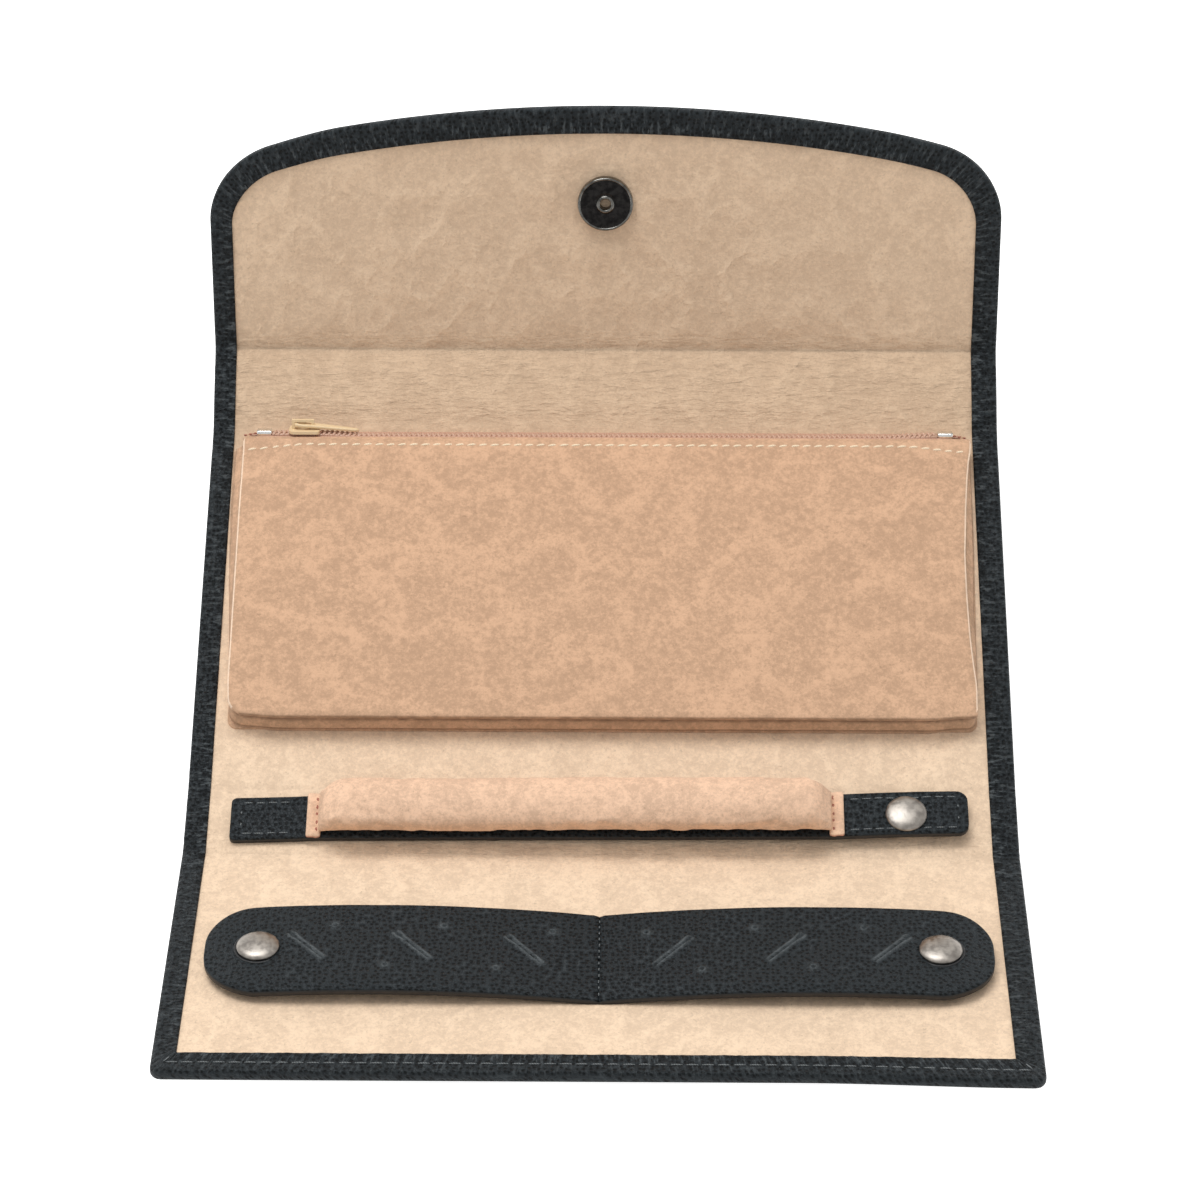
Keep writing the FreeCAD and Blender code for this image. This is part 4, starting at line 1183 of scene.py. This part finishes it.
# along a turn of the coil: share of its lean, place across and out of the zip, radius
TURN = ((-1.0, 1.55, 0.05, 0.24), (-0.6, 1.2, 0.42, 0.33), (0.0, 0.6, 0.55, 0.36), (0.5, -0.05, 0.50, 0.38),
        (0.8, -0.38, 0.12, 0.38), (0.8, -0.30, -0.35, 0.28))
CORE_RINGS, CORE_SIDES = 60, 8
STOP_HALF = 1.25          # half a stop's width across the zip
STOP_CROWN = 1.16
STOP_THICKNESS = 1.7
END_STITCHES = 3          # past each stop
SLIDER_END = layout_box("zip_slider")[1][0] + 1.0
# the tapes' profiles, (y, z) from under the suede to the coil
FRONT_TAPE = ((44.6, 7.75), (46.6, 7.72), (47.5, 7.30), (48.1, 6.62), (48.6, 6.15))
BACK_TAPE = ((43.8, 3.2), (50.7, 3.2), (51.1, 3.5), (50.75, 4.4), (50.35, 4.95), (49.8, 5.35), (49.2, 5.75))


def zip_sag(x):
    """How far the zip's middle hangs towards the pocket, short of the slider."""
    return -0.75 * smooth((x - SLIDER_END) / 12) * smooth((COIL_HALF - 2 - x) / 14)


def on_zip(x, across, out):
    """A point on the zip: along it, across it towards the flap and out of it."""
    sag = float(zip_sag(x))
    return np.array((x, sag, 0.25 * sag)) + ZIP_CENTRE + across * ZIP_ACROSS + out * ZIP_OUT


def tooth(x, side):
    """One turn of the coil: it rises from the tape, bulges at the middle of the zip and goes back."""
    co = []
    for lean, across, out, r in TURN:
        for k in range(TURN_SIDES):
            a = 2 * math.pi * k / TURN_SIDES
            co.append(on_zip(x + TURN_LEAN * lean + r * math.cos(a), side * across, out + r * 0.9 * math.sin(a)))
    faces = tube_faces(len(TURN), TURN_SIDES)
    return co, faces if side > 0 else flipped(faces)


def make_zip():
    for name, side, node in (("zip_teeth_front", -1, "zip_coil_front"), ("zip_teeth_back", 1, "zip_coil_back")):
        count = int(2 * COIL_HALF / TOOTH_PITCH)
        shift = 0.0 if side < 0 else TOOTH_PITCH / 2
        parts = [tooth(-COIL_HALF + 0.7 + shift + i * TOOTH_PITCH, side) for i in range(count)]
        core = []
        for x in np.linspace(-COIL_HALF, COIL_HALF, CORE_RINGS):
            for k in range(CORE_SIDES):
                a = 2 * math.pi * k / CORE_SIDES
                core.append(on_zip(x, side * (0.68 + 0.78 * math.cos(a)), 0.06 + 0.36 * math.sin(a)))
        parts.append((core, tube_faces(CORE_RINGS, CORE_SIDES)))
        co, faces = joined(parts)
        obj = riding(name, co, faces, [COIL], "back_panel")
        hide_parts(node)
    tape_low, tape_high = layout_box("zip_tape_front")
    xs = np.linspace(tape_low[0] - 2.0, tape_high[0] + 2.0, 90)
    front_line = [(tape_low[1] - 1.9, POCKET_UNDER - 0.05), *FRONT_TAPE]
    for name, line, node in (("zip_tape_front_cloth", front_line, "zip_tape_front"),
                             ("zip_tape_back_cloth", BACK_TAPE, "zip_tape_back")):
        co = np.array([(x, y, z) for y, z in line for x in xs])
        co[:, 2] += 0.05 * noise_at(co * (1, 0, 1), 4.0, 3.0)
        faces = quads(len(line), len(xs))
        if node == "zip_tape_back":
            faces = flipped(faces)
        co[:, 2] -= 0.8 * smooth((np.abs(co[:, 0]) - 84) / 6)
        obj = riding(name, co, faces, [TAPE], "back_panel")
        thickened(obj, TAPE_THICKNESS)
        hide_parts(node)
    for node in ("zip_stop_left", "zip_stop_right"):
        low, high = layout_box(node)
        middle, reach = (low[0] + high[0]) / 2, (high[0] - low[0]) / 2
        loop = resampled(rounded_loop(-reach, reach, -STOP_HALF, STOP_HALF, (0.5,) * 4, 5), 0.4)
        crown = lambda p: STOP_CROWN - 0.20 * (p[:, 1] / STOP_HALF) ** 2
        co, faces, slots = plate(loop, [], 0.5, crown, STOP_THICKNESS, 0.18)
        co = np.array([on_zip(middle + u, v, w) for u, v, w in co])
        stop = riding(node + "_clamp", co, faces, [BRIGHT] * 3, "back_panel", slots)
        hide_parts(node)
    parts = []
    for side in (-1, 1):
        for i in range(END_STITCHES):
            x = side * (layout_box("zip_stop_right")[1][0] + 0.5 + 1.25 * i)
            a, b = on_zip(x - 0.4, -0.4, 0.2 - 0.25 * i), on_zip(x + 0.4, -0.1, 0.2 - 0.25 * i)
            parts.append(capsule(a, b, 0.24, 0.1))
    ends = riding("zip_end_stitches", *joined(parts), [RED_THREAD], "back_panel")


make_zip()

PULL_TILT = math.radians(5.5)
PULL_THICKNESS = 0.72
# distance from the hinge, half width there
PULL_WIDTHS = ((-0.9, 0.9), (-0.55, 1.35), (0.3, 1.55), (2.2, 1.6), (3.4, 1.35), (8.0, 1.1), (12.5, 0.85),
               (14.8, 0.65), (15.4, 0.3))


def make_pull():
    """The puller: a plate that tapers from its eye round the slider's bridge to a narrow tip."""
    hinge = pivot("zip_pull_flip")
    along = np.array((math.cos(PULL_TILT), 0, 0)) - math.sin(PULL_TILT) * ZIP_OUT
    out = np.cross(along, ZIP_ACROSS)
    out = out if out @ ZIP_OUT > 0 else -out
    right = [(u, -w) for u, w in PULL_WIDTHS]
    loop = resampled(np.array(right + list(PULL_WIDTHS[::-1])), 0.5)
    eye = resampled(rounded_loop(0.0, 1.9, -0.85, 0.85, (0.4,) * 4, 3), 0.4)
    top = lambda p: PULL_THICKNESS / 2 - 0.008 * p[:, 0]
    co, faces, slots = plate(loop, [eye], 0.6, top, PULL_THICKNESS, 0.14)
    if np.cross(along, ZIP_ACROSS) @ out < 0:
        faces = flipped(faces)
    co = hinge + co[:, :1] * along + co[:, 1:2] * ZIP_ACROSS + co[:, 2:] * out
    obj = riding("zip_pull_tab", co, faces, [PAINT_TAB] * 3, "zip_pull", slots)
    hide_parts("zip_pull")


make_pull()


# ---- snap caps and magnet ----
CAP_HEIGHT = 1.70
CAP_PROFILE = ((4.35, -0.25), (4.85, -0.05), (5.02, 0.25), (4.98, 0.50), (4.72, 0.80), (4.2, 1.10), (3.4, 1.36),
               (2.4, 1.54), (1.2, 1.65), (0.5, 1.69), (0.02, CAP_HEIGHT))
# a ring in the black edge paint round the cap's foot: painted shadow where the leather is pressed down round it
SHADE_RING_PROFILE = ((5.62, -0.42), (5.66, -0.10), (5.50, 0.02), (5.30, 0.03), (5.05, -0.05), (4.6, -0.20), (4.3, -0.42))


def make_caps():
    for node, body in (("ring_bar_snap_cap", "ring_bar"), ("earring_left_snap_cap", "earring_left"),
                       ("earring_right_snap_cap", "earring_right")):
        low, high = layout_box(node)
        x, y = (low[0] + high[0]) / 2, (low[1] + high[1]) / 2
        dome, ring_round = ([(r, high[2] - CAP_HEIGHT + z) for r, z in profile]
                            for profile in (CAP_PROFILE, SHADE_RING_PROFILE))
        obj = riding(node + "_dome", *lathe(dome, x, y), [NICKEL], body)
        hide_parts(node)
        # painted shadow: a dark ring under the cap's rim
        shade_ring = riding(node + "_shade_ring", *lathe(ring_round, x, y), [STRAP_EDGE], body)


def make_magnet():
    low, high = layout_box("clasp_magnet_case")
    x, y, r = 0.0, (low[1] + high[1]) / 2, (high[0] - low[0]) / 2
    top = high[2] - 0.3
    rim = [(r - 0.7, 2.0), (r - 0.12, 2.25), (r, 2.7), (r, top - 0.55), (r - 0.06, top - 0.22),
           (r - 0.22, top - 0.04), (r - 0.42, top), (r - 0.58, top - 0.05), (r - 0.66, top - 0.16)]
    face = [(r - 0.66, top - 0.16), (r - 1.1, top - 0.15), (r - 2.4, top - 0.12), (3.2, top - 0.10),
            (2.75, top - 0.12), (2.62, top - 0.2), (2.45, top - 0.2), (2.3, top - 0.08)]
    tube = [(2.3, top - 0.08), (2.2, top + 0.12), (2.05, top + 0.27), (1.8, top + 0.31), (1.55, top + 0.26),
            (1.4, top + 0.08), (1.35, top - 0.4), (1.35, 2.4), (1.2, 2.2), (0.02, 2.2)]
    for name, profile, look in (("clasp_magnet_rim", rim, RIM), ("clasp_magnet_face", face, GUNMETAL),
                                ("clasp_magnet_tube", tube, RIM)):
        obj = riding(name, *lathe(profile, x, y, 72), [look], "flap")
        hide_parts("clasp_magnet_case")


make_caps()
make_magnet()

# ---- ring bar ----
tab_low, tab_high = layout_box("ring_bar_tab")
bar_high = layout_box("ring_bar_strap")[1]
pad_low, pad_high = layout_box("ring_bar_pad")
core_low, core_high = layout_box("ring_bar_core")
BAR_Y = (tab_low[1] + tab_high[1]) / 2
BAR_HALF = (tab_high[1] - tab_low[1]) / 2
BAR_HINGE = pivot("ring_bar_lift")[0]
BAR_THICKNESS = tab_high[2] - tab_low[2]
BAR_RISE = (bar_high[2] - tab_high[2] - 0.1) / (bar_high[0] - BAR_HINGE)
PAD_ENDS = (core_low[0] - 0.7, core_high[0] + 0.7)


def leaned(co):
    """Turns the bar's two ends a little out of line with its pad."""
    co = np.array(co, float)
    left, right = np.minimum(co[:, 0] - PAD_ENDS[0], 0), np.maximum(co[:, 0] - PAD_ENDS[1] - 4, 0)
    co[:, 1] += 0.035 * left + 0.030 * right
    return co


def bar_top(p):
    x = p[:, 0]
    z = tab_high[2] + np.maximum(x - BAR_HINGE, 0) * BAR_RISE + 0.1 * smooth((x - BAR_HINGE + 3) / 3)
    z += 0.35 * np.sin(np.pi * np.clip((x - PAD_ENDS[1]) / (bar_high[0] - PAD_ENDS[1]), 0, 1))
    dome = layout_box("ring_bar_snap_cap")
    cx = (dome[0][0] + dome[1][0]) / 2
    far = np.hypot(x - cx, p[:, 1] - BAR_Y)
    z = np.where(far < 6.5, z - 0.30 * smooth((6.5 - far) / 1.5), z)
    return z + 0.04 * noise_at(p, 6.0, 2.0)


def make_bar():
    loop = resampled(rounded_loop(tab_low[0], bar_high[0], BAR_Y - BAR_HALF, BAR_Y + BAR_HALF,
                                  (1.3, 2.6, 2.8, 1.3), 6), 1.2)
    co, faces, slots = plate(loop, [], 1.6, bar_top, BAR_THICKNESS, 0.38)
    co = leaned(co)
    obj = add_mesh("ring_bar_leather", co, faces, [STRAP_LEATHER, STRAP_EDGE, STRAP_BACK],
                   on_body("lower_spine"), slots)
    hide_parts("ring_bar_tab", "ring_bar_strap")
    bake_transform(obj)
    rows = {"lower_spine": [], "ring_bar": []}
    runs = (("lower_spine", tab_low[0] + 2.6, BAR_HINGE - 3.6), ("ring_bar", PAD_ENDS[1] + 4.2, bar_high[0] - 2.5))
    y = BAR_HALF - 1.7
    top = lambda p: bar_top(p) - 0.02
    for side in (-1, 1):
        for body, x0, x1 in runs:
            rows[body] += stitch_line([(x0, BAR_Y + side * y), (x1, BAR_Y + side * y)], BAR_STITCH, top)
    for body, x in (("lower_spine", tab_low[0] + 2.6), ("ring_bar", bar_high[0] - 2.4)):
        rows[body] += stitch_line([(x, BAR_Y - y + 1), (x, BAR_Y + y - 1)], BAR_END_STITCH, top)
    for body, name, node in (("lower_spine", "ring_bar_tab_stitches", "ring_bar_tab_stitching"),
                             ("ring_bar", "ring_bar_stitches", "ring_bar_strap_stitching")):
        co, faces = joined(rows[body])
        stitches = riding(name, leaned(co), faces, [GREY_THREAD], body)
        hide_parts(node)


PAD_RINGS = 84
PAD_SIDES = 40
PAD_HEIGHT = 9.5
STRIP_THICKNESS = 0.85    # of the suede folded under each end of the pad
PAD_SHOULDER = 7.5        # how far from its ends the pad reaches its full height
PAD_SEWN = 2.4            # height up to which it is held by its seams
PAD_SQUARE = 0.90         # 1 for a round section, less for a squarer one


def pad_section(x):
    """Half width and height of the padded tube at x."""
    near = min(x - PAD_ENDS[0], PAD_ENDS[1] - x)
    grow = 1 - max(0.0, 1 - near / PAD_SHOULDER) ** 2.3
    return BAR_HALF * (0.90 + 0.18 * grow), PAD_HEIGHT * (0.33 + 0.67 * grow)


def pad_cover():
    """Points and faces of the closed cover: rings along the pad, and two more inside each end."""
    xs = np.concatenate([PAD_ENDS[0] + np.array((0.0, 0.15, 0.6)),
                         np.linspace(PAD_ENDS[0] + 1.5, PAD_ENDS[1] - 1.5, PAD_RINGS),
                         PAD_ENDS[1] - np.array((0.6, 0.15, 0.0))])
    co = []
    for i, x in enumerate(xs):
        half, height = pad_section(x)
        base = bar_top(np.array([[x, BAR_Y]]))[0] + 0.1
        shrink = 0.90 if i in (0, len(xs) - 1) else 1.0
        for k in range(PAD_SIDES):
            a = 2 * math.pi * k / PAD_SIDES
            py, pz = (math.copysign(abs(c) ** PAD_SQUARE, c) for c in (math.cos(a), math.sin(a)))
            rise = height * (0.5 + 0.5 * pz)
            co.append((x, BAR_Y + half * py * shrink, base + rise * shrink + (1 - shrink) * height * 0.3))
    faces = quads(len(xs), PAD_SIDES, True)
    last = (len(xs) - 1) * PAD_SIDES
    co = np.array(co)
    centres = []
    for start, flip in ((0, True), (last, False)):
        inner = len(co) + len(centres)
        ringed = co[start:start + PAD_SIDES]
        middle = ringed.mean(0)
        small = [tuple(middle + (p - middle) * 0.5) for p in ringed]
        centres += small + [tuple(middle)]
        hub = inner + PAD_SIDES
        for k in range(PAD_SIDES):
            n = (k + 1) % PAD_SIDES
            quad = (start + k, inner + k, inner + n, start + n)
            tri = (inner + k, hub, inner + n)
            faces += [quad, tri] if flip else [quad[::-1], tri[::-1]]
    return np.concatenate([co, np.array(centres)]), flipped(faces)


SIM_SCALE = 10.0
SIM_FRAMES = 20
SIM_REACH = 0.3           # how far a point may go from where it is drawn
CLOTH = {"quality": 8, "mass": 0.15, "tension_stiffness": 25, "compression_stiffness": 25, "bending_stiffness": 0.35,
         "vertex_group_mass": "pins", "use_pressure": True, "uniform_pressure_force": 4.0, "shrink_min": -0.05}


def blown(co, faces, held):
    """Cloth simulation of a closed cover, in a copy SIM_SCALE times as big, with the held points pinned."""
    data = bpy.data.meshes.new("simulated")
    centre = co.mean(0)
    data.from_pydata(((co - centre) * MM * SIM_SCALE).tolist(), [], faces)
    obj = bpy.data.objects.new("simulated", data)
    bpy.context.scene.collection.objects.link(obj)
    pins = obj.vertex_groups.new(name="pins")
    pins.add([int(i) for i in np.nonzero(held)[0]], 1.0, "REPLACE")
    cloth = obj.modifiers.new("cloth", "CLOTH")
    for key, value in CLOTH.items():
        setattr(cloth.settings, key, value)
    cloth.settings.effector_weights.gravity = 0.0
    cloth.point_cache.frame_start = 1
    cloth.point_cache.frame_end = SIM_FRAMES
    scene = bpy.context.scene
    for f in range(1, SIM_FRAMES + 1):
        scene.frame_set(f)
    evaluated = obj.evaluated_get(bpy.context.evaluated_depsgraph_get())
    after = np.array([tuple(v.co) for v in evaluated.data.vertices]) / (MM * SIM_SCALE) + centre
    bpy.data.objects.remove(obj)
    scene.frame_set(1)
    move = after - co
    length = np.linalg.norm(move, axis=1)
    move *= np.minimum(1, SIM_REACH / np.maximum(length, 1e-9))[:, None]
    return co + move


def make_pad():
    co, faces = pad_cover()
    base = bar_top(co[:, :2])
    held = (co[:, 2] < base + PAD_SEWN) | (co[:, 0] < PAD_ENDS[0] + 0.4) | (co[:, 0] > PAD_ENDS[1] - 0.4)
    co = blown(co, faces, held)
    cover = riding("ring_bar_pad_cover", co, faces, [PAD_LOOK], "ring_bar")
    smoother = cover.modifiers.new("subdivision", "SUBSURF")
    smoother.levels = smoother.render_levels = 1
    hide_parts("ring_bar_pad", "ring_bar_core")
    threads = []
    for name, x0, x1, seam in (("ring_bar_seam_left", pad_low[0], PAD_ENDS[0] + 0.5, PAD_ENDS[0] - 0.55),
                               ("ring_bar_seam_right", PAD_ENDS[1] - 0.5, pad_high[0], PAD_ENDS[1] + 0.55)):
        loop = resampled(rounded_loop(x0, x1, BAR_Y - BAR_HALF - 0.15, BAR_Y + BAR_HALF + 0.15, (0.5,) * 4, 4), 0.6)
        top = lambda p, s=seam: (bar_top(p) + STRIP_THICKNESS - 0.35 * bell(p[:, 0] - s, 0.35)
                                 + 0.06 * noise_at(p, 1.6, s))
        co, faces, slots = plate(loop, [], 0.8, top, STRIP_THICKNESS, 0.3)
        strip = riding(name, co, faces, [PAD_LOOK, RAW_EDGE, PAD_LOOK], "ring_bar", slots)
        run = [(seam, BAR_Y - BAR_HALF + 0.8), (seam, BAR_Y + BAR_HALF - 0.6)]
        threads += stitch_line(run, PAD_STITCH, top, 0.08)
    stitches = riding("ring_bar_seam_stitches", *joined(threads), [RED_THREAD], "ring_bar")


make_bar()
make_pad()

# ---- earring strap ----
strap_low, strap_high = layout_box("earring_right_leather")
cap_low, cap_high = layout_box("earring_right_snap_cap")
STRAP_HALF = strap_high[0] + 0.04
STRAP_Y = (strap_low[1] + strap_high[1]) / 2
STRAP_WIDTH = strap_high[1] - strap_low[1]
STRAP_TOP = layout_box("earring_strap_centre")[1][2]
STRAP_THICKNESS = 1.8
STRAP_RISE = (strap_high[2] - STRAP_TOP) / (STRAP_HALF - 2)
STRAP_END_RADIUS = 13.4
STRAP_HUMP = 1.7
LIP_RISE = 0.34
SLIT_DEPTH = 0.22
HOLE_RIM = 0.70
HOLE_DEPTH = 0.25
SNAP_X = (cap_low[0] + cap_high[0]) / 2
SLOT_X = (17.1, 43.0, 67.4)
SLOT_LENGTH = 12.4
SLOT_SLANT = math.radians(48.0)
SLIT_REACHES = (0.02, 0.28, 0.55, 0.85, 1.25)      # loops of points round each slit, and round each hole
HOLE_REACHES = (0.3, 0.7, 1.05)
STRAP_HOLES = ((10.9, 7.2), (36.0, 7.2), (61.2, 7.2), (23.6, -7.0), (49.0, -7.0))


def slit_outline(x, reach):
    """A long loop round a closed slit."""
    way = np.array((math.cos(SLOT_SLANT), math.sin(SLOT_SLANT)))
    side = np.array((-way[1], way[0]))
    out = []
    for turn_start, end in ((-math.pi / 2, 1), (math.pi / 2, -1)):
        centre = np.array((x, STRAP_Y)) + way * end * (SLOT_LENGTH / 2 - 0.4)
        for a in np.linspace(turn_start, turn_start + math.pi, 6):
            out.append(centre + reach * (math.cos(a) * way + math.sin(a) * side))
    return resampled(np.array(out), 0.55)


def hole_outline(x, y, reach):
    return np.array([(x + reach * math.cos(a), STRAP_Y + y + reach * math.sin(a))
                     for a in np.linspace(0, 2 * math.pi, 13)[:-1]])


def on_slit(x, y, slit_x):
    """Distances along and across a slit."""
    c, s = math.cos(SLOT_SLANT), math.sin(SLOT_SLANT)
    return (x - slit_x) * c + (y - STRAP_Y) * s, (y - STRAP_Y) * c - (x - slit_x) * s


def lip_place(along):
    """How far out a slit's lips stand; they open towards one end."""
    return 0.55 + 0.30 * bell(along - SLOT_LENGTH / 2 + 1.0, 0.9)


def strap_top(p):
    x, y = np.abs(p[:, 0]), p[:, 1]
    z = STRAP_TOP + np.maximum(x - 2, 0) * STRAP_RISE
    z += STRAP_HUMP * np.sin(np.pi * np.clip((x - 2) / (SNAP_X - 2), 0, 1)) ** 0.85
    z -= 0.8 * smooth((x - SNAP_X - 3) / 10)
    z -= 0.55 * bell(x, 0.6)
    z -= 0.35 * bell(np.abs(y - STRAP_Y) - STRAP_WIDTH / 2, 2.2)
    far = np.hypot(x - SNAP_X, y - STRAP_Y)
    z -= 0.32 * smooth((6.6 - far) / 1.6)
    for sx in SLOT_X:
        along, across = on_slit(x, y, sx)
        inside_run = smooth((SLOT_LENGTH / 2 + 0.5 - np.abs(along)) / 0.7)
        wide = lip_place(along)
        z += LIP_RISE * inside_run * bell(np.abs(across) - wide, 0.30)
        z -= SLIT_DEPTH * inside_run * bell(across, 0.22)
    for hx, hy in STRAP_HOLES:
        r = np.hypot(x - hx, y - STRAP_Y - hy)
        z += 0.22 * bell(r - HOLE_RIM, 0.30) - HOLE_DEPTH * bell(r, 0.3)
    return z + 0.05 * noise_at(p, 8.0, 4.0)


def strap_painted_highlights(p):
    """Painted highlights on the raised lips of the slits and holes, and faintly along each slit."""
    x, y = np.abs(p[:, 0]), p[:, 1]
    tint = np.zeros(len(p))
    for sx in SLOT_X:
        along, across = on_slit(x, y, sx)
        inside_run = smooth((SLOT_LENGTH / 2 + 0.6 - np.abs(along)) / 0.9)
        wide = lip_place(along)
        tint += inside_run * (1.15 * bell(np.abs(across) - wide, 0.34)
                              + 0.30 * bell(across, 0.5))
    for hx, hy in STRAP_HOLES:
        r = np.hypot(x - hx, y - STRAP_Y - hy)
        tint += 0.85 * bell(r - HOLE_RIM, 0.34)
    return np.clip(tint * (0.66 + 0.45 * noise_at(p, 1.8, 7.0)), 0, 1)


def make_strap():
    for side, body in ((-1, "earring_left"), (1, "earring_right")):
        r = STRAP_END_RADIUS
        loop = resampled(rounded_loop(0, STRAP_HALF, STRAP_Y - STRAP_WIDTH / 2, STRAP_Y + STRAP_WIDTH / 2,
                                      (0, r, r, 0), 18), 1.3)
        marks = [slit_outline(x, reach) for x in SLOT_X for reach in SLIT_REACHES]
        marks += [hole_outline(*h, reach) for h in STRAP_HOLES for reach in HOLE_REACHES]
        co, faces, slots = plate(loop, [], 1.15, strap_top, STRAP_THICKNESS, 0.36, marks=marks)
        if side < 0:
            co = co * (-1, 1, 1)
            faces = flipped(faces)
        obj = add_mesh(body + "_strap", co, faces, [STRAP_LEATHER, STRAP_EDGE, STRAP_BACK], on_body("front_panel"),
                       slots, {"tint": strap_painted_highlights(co)})
        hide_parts(body + "_leather", body + "_backing", "earring_strap_centre")
        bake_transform(obj)
    y = STRAP_WIDTH / 2 - 1.2
    parts = stitch_line([(0.0, STRAP_Y - y), (0.0, STRAP_Y + y)], STRAP_STITCH, strap_top)
    stitches = riding("earring_strap_stitches", *joined(parts), [GREY_THREAD], "front_panel")
    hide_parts("earring_strap_stitching")


make_strap()

# ---- finishes and softened edges for the fittings kept from the frame ----
FITTING_BEVEL = 0.12
FITTING_LOOKS = {"board": BOARD, "bright_metal": BRIGHT, "gunmetal": GUNMETAL_CAD, "magnet": FERRITE,
                 "nickel": NICKEL_CAD, "zip_paint": PAINT}


def finish_fittings():
    for node in frame["nodes"].values():
        if node.hide_render:
            continue
        for slot in node.material_slots:
            slot.material = FITTING_LOOKS[slot.material.name.split(".")[0]]
        bevel = node.modifiers.new("softened_edges", "BEVEL")
        bevel.width = FITTING_BEVEL * MM
        bevel.segments = 2
        bevel.limit_method = "ANGLE"
        bevel.angle_limit = math.radians(35)


finish_fittings()

# ---- light, floor and camera ----
FLOOR_SIZE = 6.0
FLOOR_GAP = 0.0003
WORLD_STRENGTH = 0.62


def make_stage():
    look = Look("floor", "object", Specular_IOR_Level=0.1, Emission_Strength=0.8,
                Emission_Color=(1.0, 1.0, 1.0, 1.0))
    look.wire("Base Color", look.mix(look.noise(180.0, 2.0), (0.93, 0.93, 0.93), (0.95, 0.95, 0.95)))
    look.wire("Roughness", look.span(look.noise(60.0, 2.0), 0.3, 0.7, 0.85, 0.95))
    data = bpy.data.meshes.new("floor")
    s = FLOOR_SIZE / 2
    z = cad_low.z - FLOOR_GAP
    data.from_pydata([(-s, -s, z), (s, -s, z), (s, s, z), (-s, s, z)], [], [(0, 1, 2, 3)])
    data.materials.append(look.material)
    floor = bpy.data.objects.new("floor", data)
    bpy.context.scene.collection.objects.link(floor)


def add_area(name, position, target, size, energy):
    lamp = bpy.data.lights.new(name, "AREA")
    lamp.shape = "RECTANGLE"
    lamp.size, lamp.size_y = size
    lamp.energy = energy
    obj = bpy.data.objects.new(name, lamp)
    obj.location = position
    obj.rotation_mode = "QUATERNION"
    obj.rotation_quaternion = (Vector(target) - Vector(position)).to_track_quat("-Z", "Y")
    bpy.context.scene.collection.objects.link(obj)


def make_light():
    world = bpy.data.worlds.new("studio")
    world.use_nodes = True
    background = world.node_tree.nodes["Background"]
    background.inputs["Color"].default_value = (1.0, 0.995, 0.985, 1.0)
    background.inputs["Strength"].default_value = WORLD_STRENGTH
    bpy.context.scene.world = world
    add_area("key", (-0.25, 0.55, 1.1), (0, 0, 0), (0.9, 0.6), 10.0)


CAMERA_PLACE = (0.00803, -0.51443, 0.85281)
CAMERA_ELEVATION = 58.72
CAMERA_AZIMUTH = -0.98
CAMERA_ROLL = -0.58
CAMERA_LENS = 120.0
CAMERA_SENSOR = 36.0


def make_camera():
    camera = bpy.data.cameras.new("camera")
    camera.lens = CAMERA_LENS
    camera.sensor_width = CAMERA_SENSOR
    obj = bpy.data.objects.new("camera", camera)
    elevation, azimuth = math.radians(CAMERA_ELEVATION), math.radians(CAMERA_AZIMUTH)
    forward = Vector((math.sin(azimuth) * math.cos(elevation), math.cos(azimuth) * math.cos(elevation),
                      -math.sin(elevation)))
    facing = forward.to_track_quat("-Z", "Y").to_matrix()
    obj.matrix_world = Matrix.Translation(CAMERA_PLACE) @ (
        facing @ Matrix.Rotation(math.radians(CAMERA_ROLL), 3, "Z")).to_4x4()
    bpy.context.scene.collection.objects.link(obj)
    bpy.context.scene.camera = obj
    bpy.context.scene.view_settings.view_transform = "Standard"


make_stage()
make_light()
make_camera()
